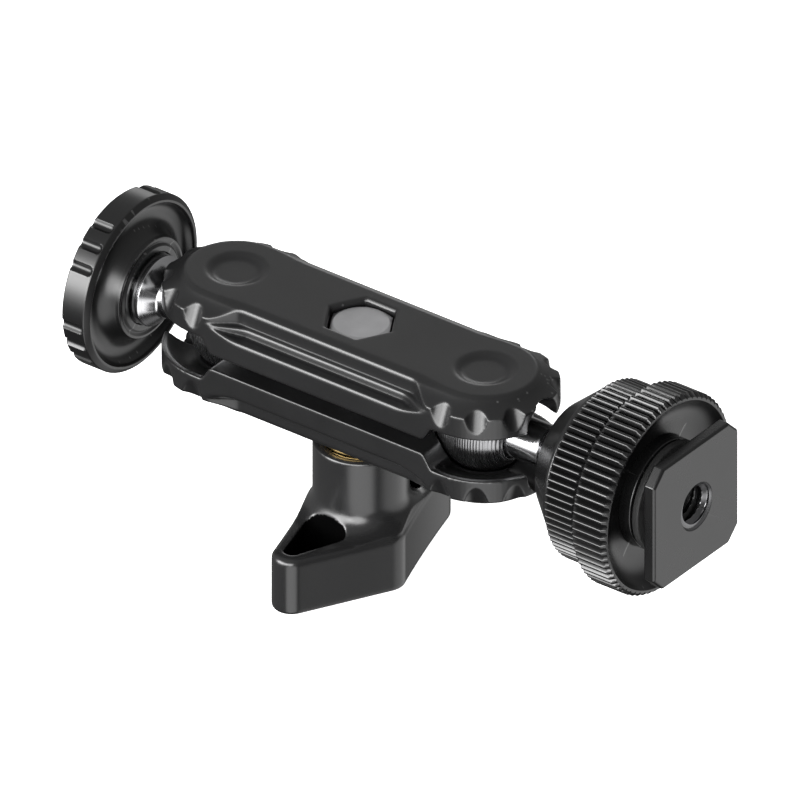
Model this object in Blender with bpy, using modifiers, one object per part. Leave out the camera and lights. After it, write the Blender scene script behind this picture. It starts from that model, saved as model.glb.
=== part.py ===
"""Double ball-joint arm with a wing knob, a 1/4"-20 screw with a lock disc, and an accessory-shoe foot.

Units are metres, +Z is up. The origin is at the centre of the shoe foot's outer face, on the line of
the two stems. +X points out of that face, -X to the lock disc, and the wing knob hangs below the jaws.
Each piece is modelled with X measured from the clamp bolt's axis, and moved when it joins its pivot.
"""

import math

import bmesh
import bpy
from mathutils import Matrix

MM = 0.001

# ---- driving dimensions -------------------------------------------------------------------

GAP = 0.3 * MM  # clearance kept between pieces that touch or are fitted together
INCH_THREAD_MAJOR = 3.175 * MM  # radius of a 1/4"-20 thread
INCH_SCREW_RADIUS = INCH_THREAD_MAJOR - GAP

BALL_SPACING = 41.0 * MM
BALL_X = BALL_SPACING / 2
BALL_RADIUS = 6.5 * MM
SOCKET_RADIUS = BALL_RADIUS + GAP

# jaws: heights are measured up from the mid-plane between them
JAW_END_RADIUS = 10.0 * MM
JAW_TOP = 8.4 * MM
JAW_TOP_RADIUS = 6.92 * MM
JAW_SHOULDER = 6.48 * MM
LAND_HEIGHT = 1.1 * MM
LAND_END_X = 17.3 * MM
RIM_HEIGHT = 3.2 * MM
CHANNEL_UPPER = (7.45 * MM, 5.75 * MM)  # half width, floor height
CHANNEL_LOWER = (8.1 * MM, 4.5 * MM)
CHANNEL_FLARES = (13.9 * MM, 12.6 * MM)  # where the upper and lower channels start to run outwards
CHANNEL_END_X = 18.6 * MM
TOP_EDGE_LENGTH = 28.0 * MM
TOP_EDGE = (6.33 * MM, 0.37 * MM)  # half width where the bevel starts, its drop
SCALLOP_RADIUS = 1.85 * MM
SCALLOP_ANGLES = (-90, -60, -30, 30, 60, 90)
SCALLOP_TOP = (8.4 * MM, 7.45 * MM)  # distance from the ball axis, height
SCALLOP_FOOT = (10.0 * MM, 4.05 * MM)
DIMPLE_RADIUS = 4.6 * MM
DIMPLE_FLOOR_RADIUS = 3.0 * MM
DIMPLE_DEPTH = 0.6 * MM
DIMPLE_WALL = DIMPLE_RADIUS - DIMPLE_FLOOR_RADIUS
NECK_SLOT_RADIUS = 3.2 * MM
NECK_SLOT_TILT = math.radians(20)

# clamp bolt, M5 with a hexagon head let into the upper jaw
BOLT_RADIUS = 2.5 * MM
BOLT_HEAD_FLATS = 8.0 * MM
BOLT_HEAD_TOP = JAW_TOP - 0.62 * MM
BOLT_HEAD_SEAT = 4.8 * MM
BOLT_END = -23.2 * MM
HEX_RECESS_FLATS = BOLT_HEAD_FLATS + 2 * GAP
HEX_RECESS_CHAMFER = 0.4 * MM
BOLT_HOLE_RADIUS = BOLT_RADIUS + GAP
SPRING_POCKET_RADIUS = 4.4 * MM
SPRING_POCKET_TOP = 2.9 * MM
SPRING_WIRE_RADIUS = 0.35 * MM
SPRING_COIL_RADIUS = 3.6 * MM
SPRING_TURNS = 3.25

# wing knob, with its brass insert, the washer above it and the cap below
WASHER_RADIUS = 5.6 * MM
WASHER_TOP = -8.1 * MM
WASHER_BOTTOM = -9.0 * MM
INSERT_FLANGE_RADIUS = 5.2 * MM
INSERT_TOP = WASHER_BOTTOM - GAP
INSERT_FLANGE_BOTTOM = -10.0 * MM
INSERT_RADIUS = 4.6 * MM
INSERT_BOTTOM = -20.0 * MM
RETAINER_TOP = -21.4 * MM
RETAINER_BOTTOM = -22.2 * MM
RETAINER_RADIUS = 4.2 * MM
RETAINER_GROOVE_RADIUS = 1.9 * MM
KNOB_TOP = -10.3 * MM
KNOB_HUB_RADIUS = 6.45 * MM
WING_TOP = -20.9 * MM
WING_BOTTOM = -29.4 * MM
WING_TIP_RADIUS = 2.65 * MM
WING_TIP = (-0.65 * MM, -14.45 * MM)
WING_SHOULDER = (5.55 * MM, -2.35 * MM)  # centre of the rounded shoulder
WING_SHOULDER_RADIUS = 3.0 * MM
WING_HOLLOW = (5.3 * MM, 7.0 * MM)  # control point of the hollow side
WING_EDGE = 0.9 * MM
WING_POCKET_DEPTH = 6.0 * MM
POCKET_CORNER_RADIUS = 1.1 * MM
POCKET_CORNERS = ((-0.65 * MM, -14.25 * MM), (1.9 * MM, -8.1 * MM), (-3.2 * MM, -7.9 * MM))
POCKET_ARCS = ((-165, -22), (-22, 95), (75, 195))  # degrees, one for each corner
CAP_RADIUS = 5.6 * MM
CAP_TOP = -27.8 * MM
CAP_BOTTOM = -28.9 * MM

# stems, alike on both sides: distances along X from the bolt's axis
STEM_START = BALL_X + 2.3 * MM
NECK_RADIUS = 3.0 * MM
CONE_START = 31.4 * MM
FLANGE_START = 33.1 * MM
FLANGE_END = 34.2 * MM
FLANGE_RADIUS = 4.95 * MM
LEFT_SCREW_END = 45.6 * MM
RIGHT_SCREW_END = 46.0 * MM

# lock disc on the left screw
DISC_RADIUS = 12.56 * MM
DISC_INNER_X = -34.5 * MM
DISC_OUTER_X = -40.1 * MM
DISC_BOSS_RADIUS = 7.1 * MM
DISC_FACE = (  # (radius, distance along X) of the wavy dish, from the boss out to the rim
    (8.0 * MM, -37.2 * MM),
    (9.24 * MM, -36.4 * MM),
    (10.8 * MM, -37.0 * MM),
    (11.5 * MM, -36.0 * MM),
    (12.1 * MM, -36.1 * MM),
)
DISC_RIM_EDGE = 0.3 * MM
DISC_PAD_FLOOR_X = -39.3 * MM
DISC_PAD_X = (DISC_PAD_FLOOR_X - GAP, -40.5 * MM)
DISC_PAD_RADII = (4.8 * MM, 11.0 * MM)
DISC_GROOVE_RADIUS = 0.75 * MM
DISC_GROOVE_PITCH = 14.5  # degrees between the three grooves of a group
DISC_GROOVE_GROUPS = (-42, 35, 112, 181, 250)  # degrees from +Z towards -Y

# accessory shoe on the right stem
KNURL_TEETH = 72
KNURL_DEPTH = 0.55 * MM
GRIP_RADIUS = 12.7 * MM
GRIP_X = (34.5 * MM, 44.6 * MM)
GRIP_KNURL_X = 39.4 * MM
GRIP_NECK_RADII = (7.8 * MM, 11.5 * MM)
WHEEL_RADIUS = 14.27 * MM
WHEEL_X = (45.1 * MM, 50.8 * MM)
WHEEL_HUB_RADIUS = 7.8 * MM
WHEEL_HUB_X = 50.2 * MM
WHEEL_DISH = (  # (radius, depth below the rim) of the hollow between rim and hub
    (13.2 * MM, 0),
    (12.3 * MM, 1.2 * MM),
    (10.6 * MM, 2.1 * MM),
    (8.4 * MM, 2.4 * MM),
    (7.8 * MM, 2.2 * MM),
)
KNURL_BEVEL = 0.45 * MM
POST_RADIUS = 5.0 * MM
POST_X = (38.8 * MM, 53.2 * MM)
SHOE_WASHER_X = (50.5 * MM, 51.5 * MM)
FOOT_X = (53.5 * MM, 55.4 * MM)
FOOT_WIDTH = 18.6 * MM
FOOT_HEIGHT = 18.75 * MM
FOOT_CORNER = 2.1 * MM

SEGMENTS = 32  # around a large round piece
SMALL_SEGMENTS = 20  # around a bolt, a bore or a washer
SOLID_MERGE = 0.00001


# ---- scene and materials ------------------------------------------------------------------


def clear_scene():
    for obj in list(bpy.data.objects):
        bpy.data.objects.remove(obj, do_unlink=True)


def new_collection(name):
    collection = bpy.data.collections.new(name)
    bpy.context.scene.collection.children.link(collection)
    return collection


def material(name, colour, roughness, metallic):
    made = bpy.data.materials.new(name)
    made.use_nodes = True
    shader = made.node_tree.nodes["Principled BSDF"]
    shader.inputs["Base Color"].default_value = (*colour, 1)
    shader.inputs["Roughness"].default_value = roughness
    shader.inputs["Metallic"].default_value = metallic
    return made


clear_scene()
PARTS = new_collection("double_ball_arm")
CUTTERS = new_collection("cutters")
CUTTERS.hide_render = True

BLACK_ANODISED = material("black_anodised", (0.028, 0.028, 0.03), 0.42, 0.6)
BLACK_PLASTIC = material("black_plastic", (0.02, 0.02, 0.021), 0.3, 0.0)
BLACK_RUBBER = material("black_rubber", (0.015, 0.015, 0.015), 0.8, 0.0)
DARK_STEEL = material("dark_steel", (0.12, 0.12, 0.125), 0.3, 1.0)
POLISHED_STEEL = material("polished_steel", (0.62, 0.62, 0.63), 0.12, 1.0)
SATIN_STEEL = material("satin_steel", (0.5, 0.5, 0.51), 0.35, 1.0)
BRASS = material("brass", (0.72, 0.5, 0.2), 0.25, 1.0)


# ---- shape helpers ------------------------------------------------------------------------


def new_object(name, mesh, collection=PARTS):
    obj = bpy.data.objects.new(name, mesh)
    collection.objects.link(obj)
    if collection is CUTTERS:
        obj.hide_render = True
        obj.display_type = "WIRE"
    return obj


def finish(obj, look, sharp_degrees=35):
    """Gives a piece its material and smooth shading with sharp edges."""
    obj.data.materials.clear()
    obj.data.materials.append(look)
    obj.data.shade_smooth()
    obj.data.set_sharp_from_angle(angle=math.radians(sharp_degrees))
    return obj


def frozen(obj):
    """The same object with its modifiers made into its mesh."""
    graph = bpy.context.evaluated_depsgraph_get()
    mesh = bpy.data.meshes.new_from_object(obj.evaluated_get(graph))
    obj.modifiers.clear()
    obj.data = mesh
    return obj


def remove_all(cutters):
    for cutter in cutters:
        bpy.data.objects.remove(cutter, do_unlink=True)


def arc(centre, radius, start, end, steps):
    """Points on an arc, angles in radians, both ends included."""
    angles = [start + (end - start) * i / steps for i in range(steps + 1)]
    return [(centre[0] + radius * math.cos(a), centre[1] + radius * math.sin(a)) for a in angles]


def curve_through(start, control, end, steps):
    """Points on a quadratic curve from start to end, both ends included."""
    points = []
    for i in range(steps + 1):
        t = i / steps
        weights = ((1 - t) ** 2, 2 * t * (1 - t), t**2)
        points.append(
            tuple(sum(w * p[k] for w, p in zip(weights, (start, control, end))) for k in (0, 1))
        )
    return points


def half_turned(points):
    return [(-x, -y) for x, y in points]


def turned(name, profile, segments=SEGMENTS, collection=PARTS):
    """A profile of (radius, height) points turned about local Z.

    The profile runs down its outer side. It closes on itself unless it starts and ends on the axis.
    """
    mesh = bpy.data.meshes.new(name)
    count = len(profile)
    edges = [(i, i + 1) for i in range(count - 1)]
    if profile[0][0] > 0 or profile[-1][0] > 0:
        edges.append((count - 1, 0))
    mesh.from_pydata([(r, 0, z) for r, z in profile], edges, [])
    obj = new_object(name, mesh, collection)
    screw = obj.modifiers.new("turn", "SCREW")
    screw.axis = "Z"
    screw.steps = segments
    screw.render_steps = segments
    screw.use_merge_vertices = True
    screw.merge_threshold = SOLID_MERGE
    return frozen(obj)


def tube(name, outer, inner, low, high, segments=SMALL_SEGMENTS):
    return turned(name, [(outer, high), (outer, low), (inner, low), (inner, high)], segments)


def cylinder(name, radius, low, high, segments=SMALL_SEGMENTS, top_radius=None):
    """A cutter about local Z, from height low to height high."""
    mesh = bpy.data.meshes.new(name)
    shape = bmesh.new()
    bmesh.ops.create_cone(
        shape,
        cap_ends=True,
        segments=segments,
        radius1=radius,
        radius2=radius if top_radius is None else top_radius,
        depth=high - low,
    )
    bmesh.ops.translate(shape, verts=shape.verts, vec=(0, 0, (low + high) / 2))
    shape.to_mesh(mesh)
    shape.free()
    return new_object(name, mesh, CUTTERS)


def block(name, low, high):
    """A box cutter between two opposite corners."""
    mesh = bpy.data.meshes.new(name)
    shape = bmesh.new()
    bmesh.ops.create_cube(shape, size=1)
    bmesh.ops.scale(shape, verts=shape.verts, vec=[b - a for a, b in zip(low, high)])
    bmesh.ops.translate(shape, verts=shape.verts, vec=[(a + b) / 2 for a, b in zip(low, high)])
    shape.to_mesh(mesh)
    shape.free()
    return new_object(name, mesh, CUTTERS)


def prism(name, outline, low, high, collection=PARTS):
    """A flat outline in XY, extruded from height low to height high."""
    curve = bpy.data.curves.new(name, "CURVE")
    curve.dimensions = "2D"
    curve.fill_mode = "BOTH"
    curve.extrude = (high - low) / 2
    spline = curve.splines.new("POLY")
    spline.points.add(len(outline) - 1)
    for point, (x, y) in zip(spline.points, outline):
        point.co = (x, y, 0, 1)
    spline.use_cyclic_u = True
    guide = bpy.data.objects.new(name + "_outline", curve)
    CUTTERS.objects.link(guide)
    bpy.context.view_layer.update()
    graph = bpy.context.evaluated_depsgraph_get()
    mesh = bpy.data.meshes.new_from_object(guide.evaluated_get(graph))
    shape = bmesh.new()
    shape.from_mesh(mesh)
    bmesh.ops.remove_doubles(shape, verts=shape.verts, dist=SOLID_MERGE)
    bmesh.ops.translate(shape, verts=shape.verts, vec=(0, 0, (low + high) / 2))
    bmesh.ops.recalc_face_normals(shape, faces=shape.faces)
    shape.to_mesh(mesh)
    shape.free()
    bpy.data.objects.remove(guide, do_unlink=True)
    return new_object(name, mesh, collection)


def lofted(name, rings):
    """A closed solid through rings of equal point count, each ring being ([(x, y)], height)."""
    mesh = bpy.data.meshes.new(name)
    shape = bmesh.new()
    loops = []
    for outline, height in rings:
        verts = [shape.verts.new((x, y, height)) for x, y in outline]
        count = len(verts)
        loops.append([shape.edges.new((verts[i], verts[(i + 1) % count])) for i in range(count)])
        if (outline, height) in (rings[0], rings[-1]):
            shape.faces.new(verts)
    for lower, upper in zip(loops, loops[1:]):
        bmesh.ops.bridge_loops(shape, edges=lower + upper)
    bmesh.ops.recalc_face_normals(shape, faces=shape.faces)
    shape.to_mesh(mesh)
    shape.free()
    return new_object(name, mesh)


def boolean(obj, other, operation="DIFFERENCE", solver="EXACT"):
    modifier = obj.modifiers.new(other.name, "BOOLEAN")
    modifier.operation = operation
    modifier.solver = solver
    modifier.object = other


def cut(obj, cutters, solver="EXACT"):
    """Cuts the cutters from a piece, and clears them away."""
    for cutter in cutters:
        boolean(obj, cutter, solver=solver)
    bpy.context.view_layer.update()
    frozen(obj)
    remove_all(cutters)
    return obj


def bake_transform(obj):
    """Moves an object's location and rotation into its mesh."""
    bpy.context.view_layer.update()
    obj.data.transform(obj.matrix_world)
    obj.matrix_world.identity()
    return obj


def along_x(obj, side=1):
    """Lays a piece turned about Z along +X (side 1) or -X (side -1)."""
    obj.rotation_euler = (0, side * math.pi / 2, 0)
    return obj


def pivot(name, x=0.0):
    """An empty that stands on a joint's axis and carries the pieces that move about it."""
    empty = bpy.data.objects.new(name, None)
    empty.location = (x - FOOT_X[1], 0, 0)
    PARTS.objects.link(empty)
    bpy.context.view_layer.update()
    return empty


def carry(empty, pieces):
    """Moves pieces from the clamp bolt's axis to the foot's face, and parents them to an empty."""
    bpy.context.view_layer.update()
    to_foot_face = Matrix.Translation((-FOOT_X[1], 0, 0))
    for piece in pieces:
        place = to_foot_face @ piece.matrix_world
        piece.parent = empty
        piece.matrix_parent_inverse = empty.matrix_world.inverted()
        piece.matrix_world = place


# ---- jaws ---------------------------------------------------------------------------------


def stadium(radius, steps=12):
    """The jaw's plan outline: a half circle about each ball, joined by straight sides."""
    right = arc((BALL_X, 0), radius, -math.pi / 2, math.pi / 2, steps)
    return right + half_turned(right)


def channel_outline(half_width, flare):
    """One side's milled channel in plan: straight along the jaw, running out to its side in an S."""
    steps = 6
    right = []
    for i in range(steps + 1):
        t = i / steps
        eased = t * t * (3 - 2 * t)
        right.append(
            (
                flare + t * (CHANNEL_END_X - flare),
                half_width + eased * (JAW_END_RADIUS - half_width),
            )
        )
    right.append((CHANNEL_END_X, JAW_END_RADIUS + 1.0 * MM))
    left = [(-x, y) for x, y in reversed(right)]
    return left + right


def channel_cutters():
    cutters = []
    for (half_width, floor), flare in zip((CHANNEL_UPPER, CHANNEL_LOWER), CHANNEL_FLARES):
        for side in (1, -1):
            outline = [(x, side * y) for x, y in channel_outline(half_width, flare)]
            cutters.append(prism("channel", outline, floor, JAW_TOP + 1 * MM, CUTTERS))
    return cutters


def top_edge_cutters():
    """Two long wedges that bevel the top's edges along the channels."""
    half_width, drop = TOP_EDGE
    across = CHANNEL_UPPER[0] - half_width
    half = TOP_EDGE_LENGTH / 2
    cutters = []
    for side in (1, -1):
        wedge = block("top_edge", (-half, 0, 0), (half, 4 * MM, 2 * MM))
        wedge.location = (0, side * half_width, JAW_TOP)
        wedge.rotation_euler = (-math.atan2(drop, across), 0, 0 if side > 0 else math.pi)
        cutters.append(wedge)
    return cutters


def scallop_cutters():
    """Round notches in the shoulder of both ends, every 30 degrees beside the neck slot."""
    run = SCALLOP_FOOT[0] - SCALLOP_TOP[0]
    fall = SCALLOP_TOP[1] - SCALLOP_FOOT[1]
    lean = math.atan2(run, fall)
    middle = [(a + b) / 2 for a, b in zip(SCALLOP_TOP, SCALLOP_FOOT)]
    reach = middle[0] + SCALLOP_RADIUS * math.cos(lean)
    height = middle[1] + SCALLOP_RADIUS * math.sin(lean)
    cutters = []
    for side in (1, -1):
        for degrees in SCALLOP_ANGLES:
            heading = math.radians(degrees) + (0 if side > 0 else math.pi)
            cutter = cylinder("scallop", SCALLOP_RADIUS, -4 * MM, 4 * MM, 12)
            cutter.location = (
                side * BALL_X + reach * math.cos(heading),
                reach * math.sin(heading),
                height,
            )
            cutter.rotation_mode = "ZYX"
            cutter.rotation_euler = (0, -lean, heading)
            cutter.rotation_mode = "XYZ"
            cutters.append(cutter)
    return cutters


def end_cutters(side):
    """What is cut from one end: ball socket, step down to the rim, dimple and slot for the neck."""
    ball_x = side * BALL_X
    socket_mesh = bpy.data.meshes.new("socket")
    shape = bmesh.new()
    bmesh.ops.create_uvsphere(shape, u_segments=24, v_segments=12, radius=SOCKET_RADIUS)
    shape.to_mesh(socket_mesh)
    shape.free()
    socket = new_object("socket", socket_mesh, CUTTERS)
    socket.location = (ball_x, 0, 0)

    far = BALL_X + 2 * JAW_END_RADIUS
    near = LAND_END_X
    span = sorted((side * near, side * far))
    rim = block("rim", (span[0], -far, -far), (span[1], far, RIM_HEIGHT))

    above = DIMPLE_RADIUS + DIMPLE_WALL  # the cutter's cone carries on as far above the top
    dimple = cylinder("dimple", DIMPLE_FLOOR_RADIUS, -DIMPLE_DEPTH, DIMPLE_DEPTH, 24, above)
    dimple.location = (ball_x, 0, JAW_TOP)

    tilt = side * (math.pi / 2 - NECK_SLOT_TILT)
    slot_length = 2 * JAW_END_RADIUS
    slot_round = cylinder("slot_round", NECK_SLOT_RADIUS, 0, slot_length, 24)
    slot_below = block(
        "slot_below",
        (0 if side > 0 else -slot_length, -NECK_SLOT_RADIUS, -JAW_END_RADIUS),
        (slot_length if side > 0 else 0, NECK_SLOT_RADIUS, 0),
    )
    slot_round.location = (ball_x, 0, 0)
    slot_below.location = (ball_x, 0, 0)
    slot_round.rotation_euler = (0, tilt, 0)
    slot_below.rotation_euler = (0, -side * NECK_SLOT_TILT, 0)
    return [socket, rim, dimple, slot_round, slot_below]


def make_jaw_blank():
    """The shape that both jaws share, made as the upper one."""
    jaw = lofted(
        "jaw",
        [
            (stadium(JAW_END_RADIUS), LAND_HEIGHT),
            (stadium(JAW_END_RADIUS), JAW_SHOULDER),
            (stadium(JAW_TOP_RADIUS), JAW_TOP),
        ],
    )
    spring_pocket = cylinder("spring_pocket", SPRING_POCKET_RADIUS, 0, SPRING_POCKET_TOP)
    bolt_hole = cylinder("bolt_hole", BOLT_HOLE_RADIUS, 0, 2 * JAW_TOP)
    cutters = channel_cutters() + top_edge_cutters() + scallop_cutters()
    cutters += end_cutters(1) + end_cutters(-1) + [spring_pocket, bolt_hole]
    return cut(jaw, cutters, "MANIFOLD")


def hexagon(name, flats, low, high, top_flats=None):
    """A hexagonal cutter or blank about Z, with corners on the X axis."""
    to_corner = 1 / math.sqrt(3)
    top = None if top_flats is None else top_flats * to_corner
    made = cylinder(name, flats * to_corner, low, high, 6, top)
    made.rotation_euler.z = math.radians(30)
    return made


def make_upper_jaw(blank):
    jaw = new_object("upper_jaw", blank.data.copy())
    floor = BOLT_HEAD_SEAT - GAP
    chamfer = HEX_RECESS_CHAMFER
    recess = hexagon("hex_recess", HEX_RECESS_FLATS, floor, JAW_TOP + 1 * MM)
    mouth = hexagon(
        "hex_mouth",
        HEX_RECESS_FLATS,
        JAW_TOP - chamfer,
        JAW_TOP + chamfer,
        HEX_RECESS_FLATS + 3 * chamfer,
    )
    return finish(cut(jaw, [recess, mouth]), BLACK_ANODISED, 25)


def make_lower_jaw(blank):
    jaw = new_object("lower_jaw", blank.data.copy())
    seat = cylinder("washer_seat", WASHER_RADIUS + GAP, -WASHER_TOP - GAP, 2 * JAW_TOP, 24)
    cut(jaw, [seat])
    jaw.rotation_euler = (math.pi, 0, 0)
    return finish(bake_transform(jaw), BLACK_ANODISED, 25)


# ---- clamp bolt, spring and retaining ring --------------------------------------------------


def make_clamp_bolt():
    r = BOLT_RADIUS
    groove = RETAINER_GROOVE_RADIUS
    bolt = turned(
        "clamp_bolt",
        [
            (0, BOLT_HEAD_SEAT + 1 * MM),
            (r, BOLT_HEAD_SEAT + 1 * MM),
            (r, RETAINER_TOP + GAP),
            (groove, RETAINER_TOP + GAP),
            (groove, RETAINER_BOTTOM - GAP),
            (r, RETAINER_BOTTOM - GAP),
            (r, BOLT_END + 0.4 * MM),
            (r - 0.4 * MM, BOLT_END),
            (0, BOLT_END),
        ],
        SMALL_SEGMENTS,
    )
    head = hexagon("bolt_head", BOLT_HEAD_FLATS, BOLT_HEAD_SEAT, BOLT_HEAD_TOP)
    boolean(bolt, head, "UNION")
    bpy.context.view_layer.update()
    frozen(bolt)
    remove_all([head])
    return finish(bolt, SATIN_STEEL)


def make_jaw_spring():
    """An open coil that pushes the jaws apart when the knob is slackened."""
    steps_per_turn = 12
    count = round(SPRING_TURNS * steps_per_turn)
    reach = SPRING_POCKET_TOP - GAP - SPRING_WIRE_RADIUS
    curve = bpy.data.curves.new("jaw_spring", "CURVE")
    curve.dimensions = "3D"
    curve.bevel_depth = SPRING_WIRE_RADIUS
    curve.bevel_resolution = 1
    curve.use_fill_caps = True
    spline = curve.splines.new("POLY")
    spline.points.add(count)
    for i, point in enumerate(spline.points):
        angle = 2 * math.pi * i / steps_per_turn
        point.co = (
            SPRING_COIL_RADIUS * math.cos(angle),
            SPRING_COIL_RADIUS * math.sin(angle),
            -reach + 2 * reach * i / count,
            1,
        )
    spring = new_object("jaw_spring", curve)
    curve.materials.append(SATIN_STEEL)
    return spring


def make_retaining_ring():
    """The open ring in the bolt's groove that keeps the knob from running off."""
    inner = RETAINER_GROOVE_RADIUS + GAP
    ring = tube("retaining_ring", RETAINER_RADIUS, inner, RETAINER_BOTTOM, RETAINER_TOP)
    half = 1.2 * MM
    low = (0, -half, RETAINER_BOTTOM - MM)
    high = (2 * RETAINER_RADIUS, half, RETAINER_TOP + MM)
    mouth = block("ring_mouth", low, high)
    return finish(cut(ring, [mouth]), SATIN_STEEL)


# ---- wing knob ------------------------------------------------------------------------------


def wing_outline():
    """The knob's plan: two wings along Y, each with one straight and one hollow side."""
    run = WING_SHOULDER[0] - WING_TIP[0]
    rise = WING_SHOULDER[1] - WING_TIP[1]
    lean = math.atan2(rise, run)
    swell = math.asin((WING_SHOULDER_RADIUS - WING_TIP_RADIUS) / math.hypot(run, rise))
    straight = lean - math.pi / 2 - swell
    tip_start = math.radians(-165)
    shoulder_end = math.radians(20)
    tip = arc(WING_TIP, WING_TIP_RADIUS, tip_start, straight, 8)
    shoulder = arc(WING_SHOULDER, WING_SHOULDER_RADIUS, straight, shoulder_end, 4)
    next_tip = half_turned(tip)[0]
    hollow = curve_through(shoulder[-1], WING_HOLLOW, next_tip, 6)
    half = tip + shoulder + hollow[1:-1]
    return half + half_turned(half)


def pocket_outline():
    """The rounded triangular pocket in the top of the wing at -Y."""
    outline = []
    for centre, (start, end) in zip(POCKET_CORNERS, POCKET_ARCS):
        outline += arc(centre, POCKET_CORNER_RADIUS, math.radians(start), math.radians(end), 4)
    return outline


def make_wing_knob():
    outline = wing_outline()
    knob = prism("wing_knob", outline, WING_BOTTOM, WING_TOP)
    bevel = knob.modifiers.new("edge", "BEVEL")
    bevel.width = WING_EDGE
    bevel.segments = 2
    bevel.limit_method = "ANGLE"
    bevel.angle_limit = math.radians(60)
    hub_radius = KNOB_HUB_RADIUS
    hub = turned(
        "hub",
        [
            (0, KNOB_TOP),
            (hub_radius - 0.4 * MM, KNOB_TOP),
            (hub_radius, KNOB_TOP - 0.4 * MM),
            (hub_radius + 0.1 * MM, WING_TOP + 1.6 * MM),
            (hub_radius + 0.6 * MM, WING_TOP + 0.6 * MM),
            (hub_radius + 1.4 * MM, WING_TOP - 0.1 * MM),
            (hub_radius, WING_TOP - 1.5 * MM),
            (0, WING_TOP - 1.5 * MM),
        ],
        24,
        CUTTERS,
    )
    boolean(knob, hub, "UNION")
    bpy.context.view_layer.update()
    frozen(knob)
    remove_all([hub])
    bore = cylinder("bore", INSERT_RADIUS + GAP, WING_BOTTOM - 1 * MM, KNOB_TOP + 1 * MM)
    cap_seat = cylinder("cap_seat", CAP_RADIUS + GAP, WING_BOTTOM - 1 * MM, CAP_TOP + GAP)
    floor = WING_TOP - WING_POCKET_DEPTH
    pockets = []
    for side in (1, -1):
        plan = [(side * x, side * y) for x, y in pocket_outline()]
        pockets.append(prism("pocket", plan, floor, WING_TOP + 1 * MM, CUTTERS))
    return finish(cut(knob, [bore, cap_seat] + pockets), BLACK_PLASTIC)


def make_knob_insert():
    bore = BOLT_RADIUS + GAP
    insert = turned(
        "knob_insert",
        [
            (INSERT_FLANGE_RADIUS, INSERT_TOP),
            (INSERT_FLANGE_RADIUS, INSERT_FLANGE_BOTTOM),
            (INSERT_RADIUS, INSERT_FLANGE_BOTTOM),
            (INSERT_RADIUS, INSERT_BOTTOM),
            (bore, INSERT_BOTTOM),
            (bore, INSERT_TOP),
        ],
        SMALL_SEGMENTS,
    )
    return finish(insert, BRASS)


def make_knob_cap():
    profile = [(0, CAP_TOP), (CAP_RADIUS, CAP_TOP), (CAP_RADIUS, CAP_BOTTOM), (0, CAP_BOTTOM)]
    cap = turned("knob_cap", profile, 24)
    return finish(cap, BLACK_PLASTIC)


def make_thrust_washer():
    washer = tube("thrust_washer", WASHER_RADIUS, BOLT_RADIUS + GAP, WASHER_BOTTOM, WASHER_TOP)
    return finish(washer, SATIN_STEEL)


# ---- balls and stems ------------------------------------------------------------------------


def make_ball(name, side):
    """A ball with a blind bore that takes the stem's neck."""
    bore = NECK_RADIUS + GAP
    floor = STEM_START - BALL_X - GAP
    mouth = math.sqrt(BALL_RADIUS**2 - bore**2)
    start = math.atan2(mouth, bore)
    surface = arc((0, 0), BALL_RADIUS, start, -math.pi / 2, 14)
    surface[-1] = (0, -BALL_RADIUS)
    ball = along_x(turned(name, [(0, floor), (bore, floor)] + surface, 24), side)
    ball.location = (side * BALL_X, 0, 0)
    return finish(ball, DARK_STEEL)


def make_stem(name, side, screw_end):
    """Neck, cone and flange, with the 1/4"-20 screw beyond it."""
    screw = INCH_SCREW_RADIUS
    chamfer = 0.6 * MM
    stem = turned(
        name,
        [
            (0, screw_end),
            (screw - chamfer, screw_end),
            (screw, screw_end - chamfer),
            (screw, FLANGE_END),
            (FLANGE_RADIUS, FLANGE_END),
            (FLANGE_RADIUS, FLANGE_START),
            (NECK_RADIUS, CONE_START),
            (NECK_RADIUS, STEM_START),
            (0, STEM_START),
        ],
        24,
    )
    return finish(along_x(stem, side), POLISHED_STEEL)


# ---- lock disc ------------------------------------------------------------------------------


def make_lock_disc():
    """A dished disc whose rim has groups of three half-round grooves, open to the outer face."""
    bore = INCH_THREAD_MAJOR
    rim = DISC_RADIUS
    edge = DISC_RIM_EDGE
    face = [(DISC_BOSS_RADIUS, DISC_INNER_X), (DISC_BOSS_RADIUS, -36.9 * MM), *DISC_FACE]
    side = [(rim, -36.6 * MM), (rim, DISC_OUTER_X + edge), (rim - edge, DISC_OUTER_X)]
    pad_recess = [
        (DISC_PAD_RADII[1] + GAP, DISC_OUTER_X),
        (DISC_PAD_RADII[1] + GAP, DISC_PAD_FLOOR_X),
        (DISC_PAD_RADII[0] - GAP, DISC_PAD_FLOOR_X),
        (DISC_PAD_RADII[0] - GAP, DISC_OUTER_X),
    ]
    hole = [(bore, DISC_OUTER_X), (bore, DISC_INNER_X)]
    disc = turned("lock_disc", face + side + pad_recess + hole, 48)
    bake_transform(along_x(disc))
    grooves = []
    for group in DISC_GROOVE_GROUPS:
        for step in (-1, 0, 1):
            angle = math.radians(group + step * DISC_GROOVE_PITCH)
            groove = cylinder("groove", DISC_GROOVE_RADIUS, DISC_OUTER_X - MM, -37.2 * MM, 8)
            reach = DISC_RADIUS + 0.25 * MM
            groove.location = (0, -reach * math.sin(angle), reach * math.cos(angle))
            grooves.append(along_x(groove))
    return finish(cut(disc, grooves), BLACK_ANODISED)


def make_disc_pad():
    inner, outer = DISC_PAD_RADII
    pad = tube("disc_pad", outer, inner, DISC_PAD_X[1], DISC_PAD_X[0], SEGMENTS)
    return finish(along_x(pad), BLACK_RUBBER)


# ---- accessory shoe -------------------------------------------------------------------------


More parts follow.
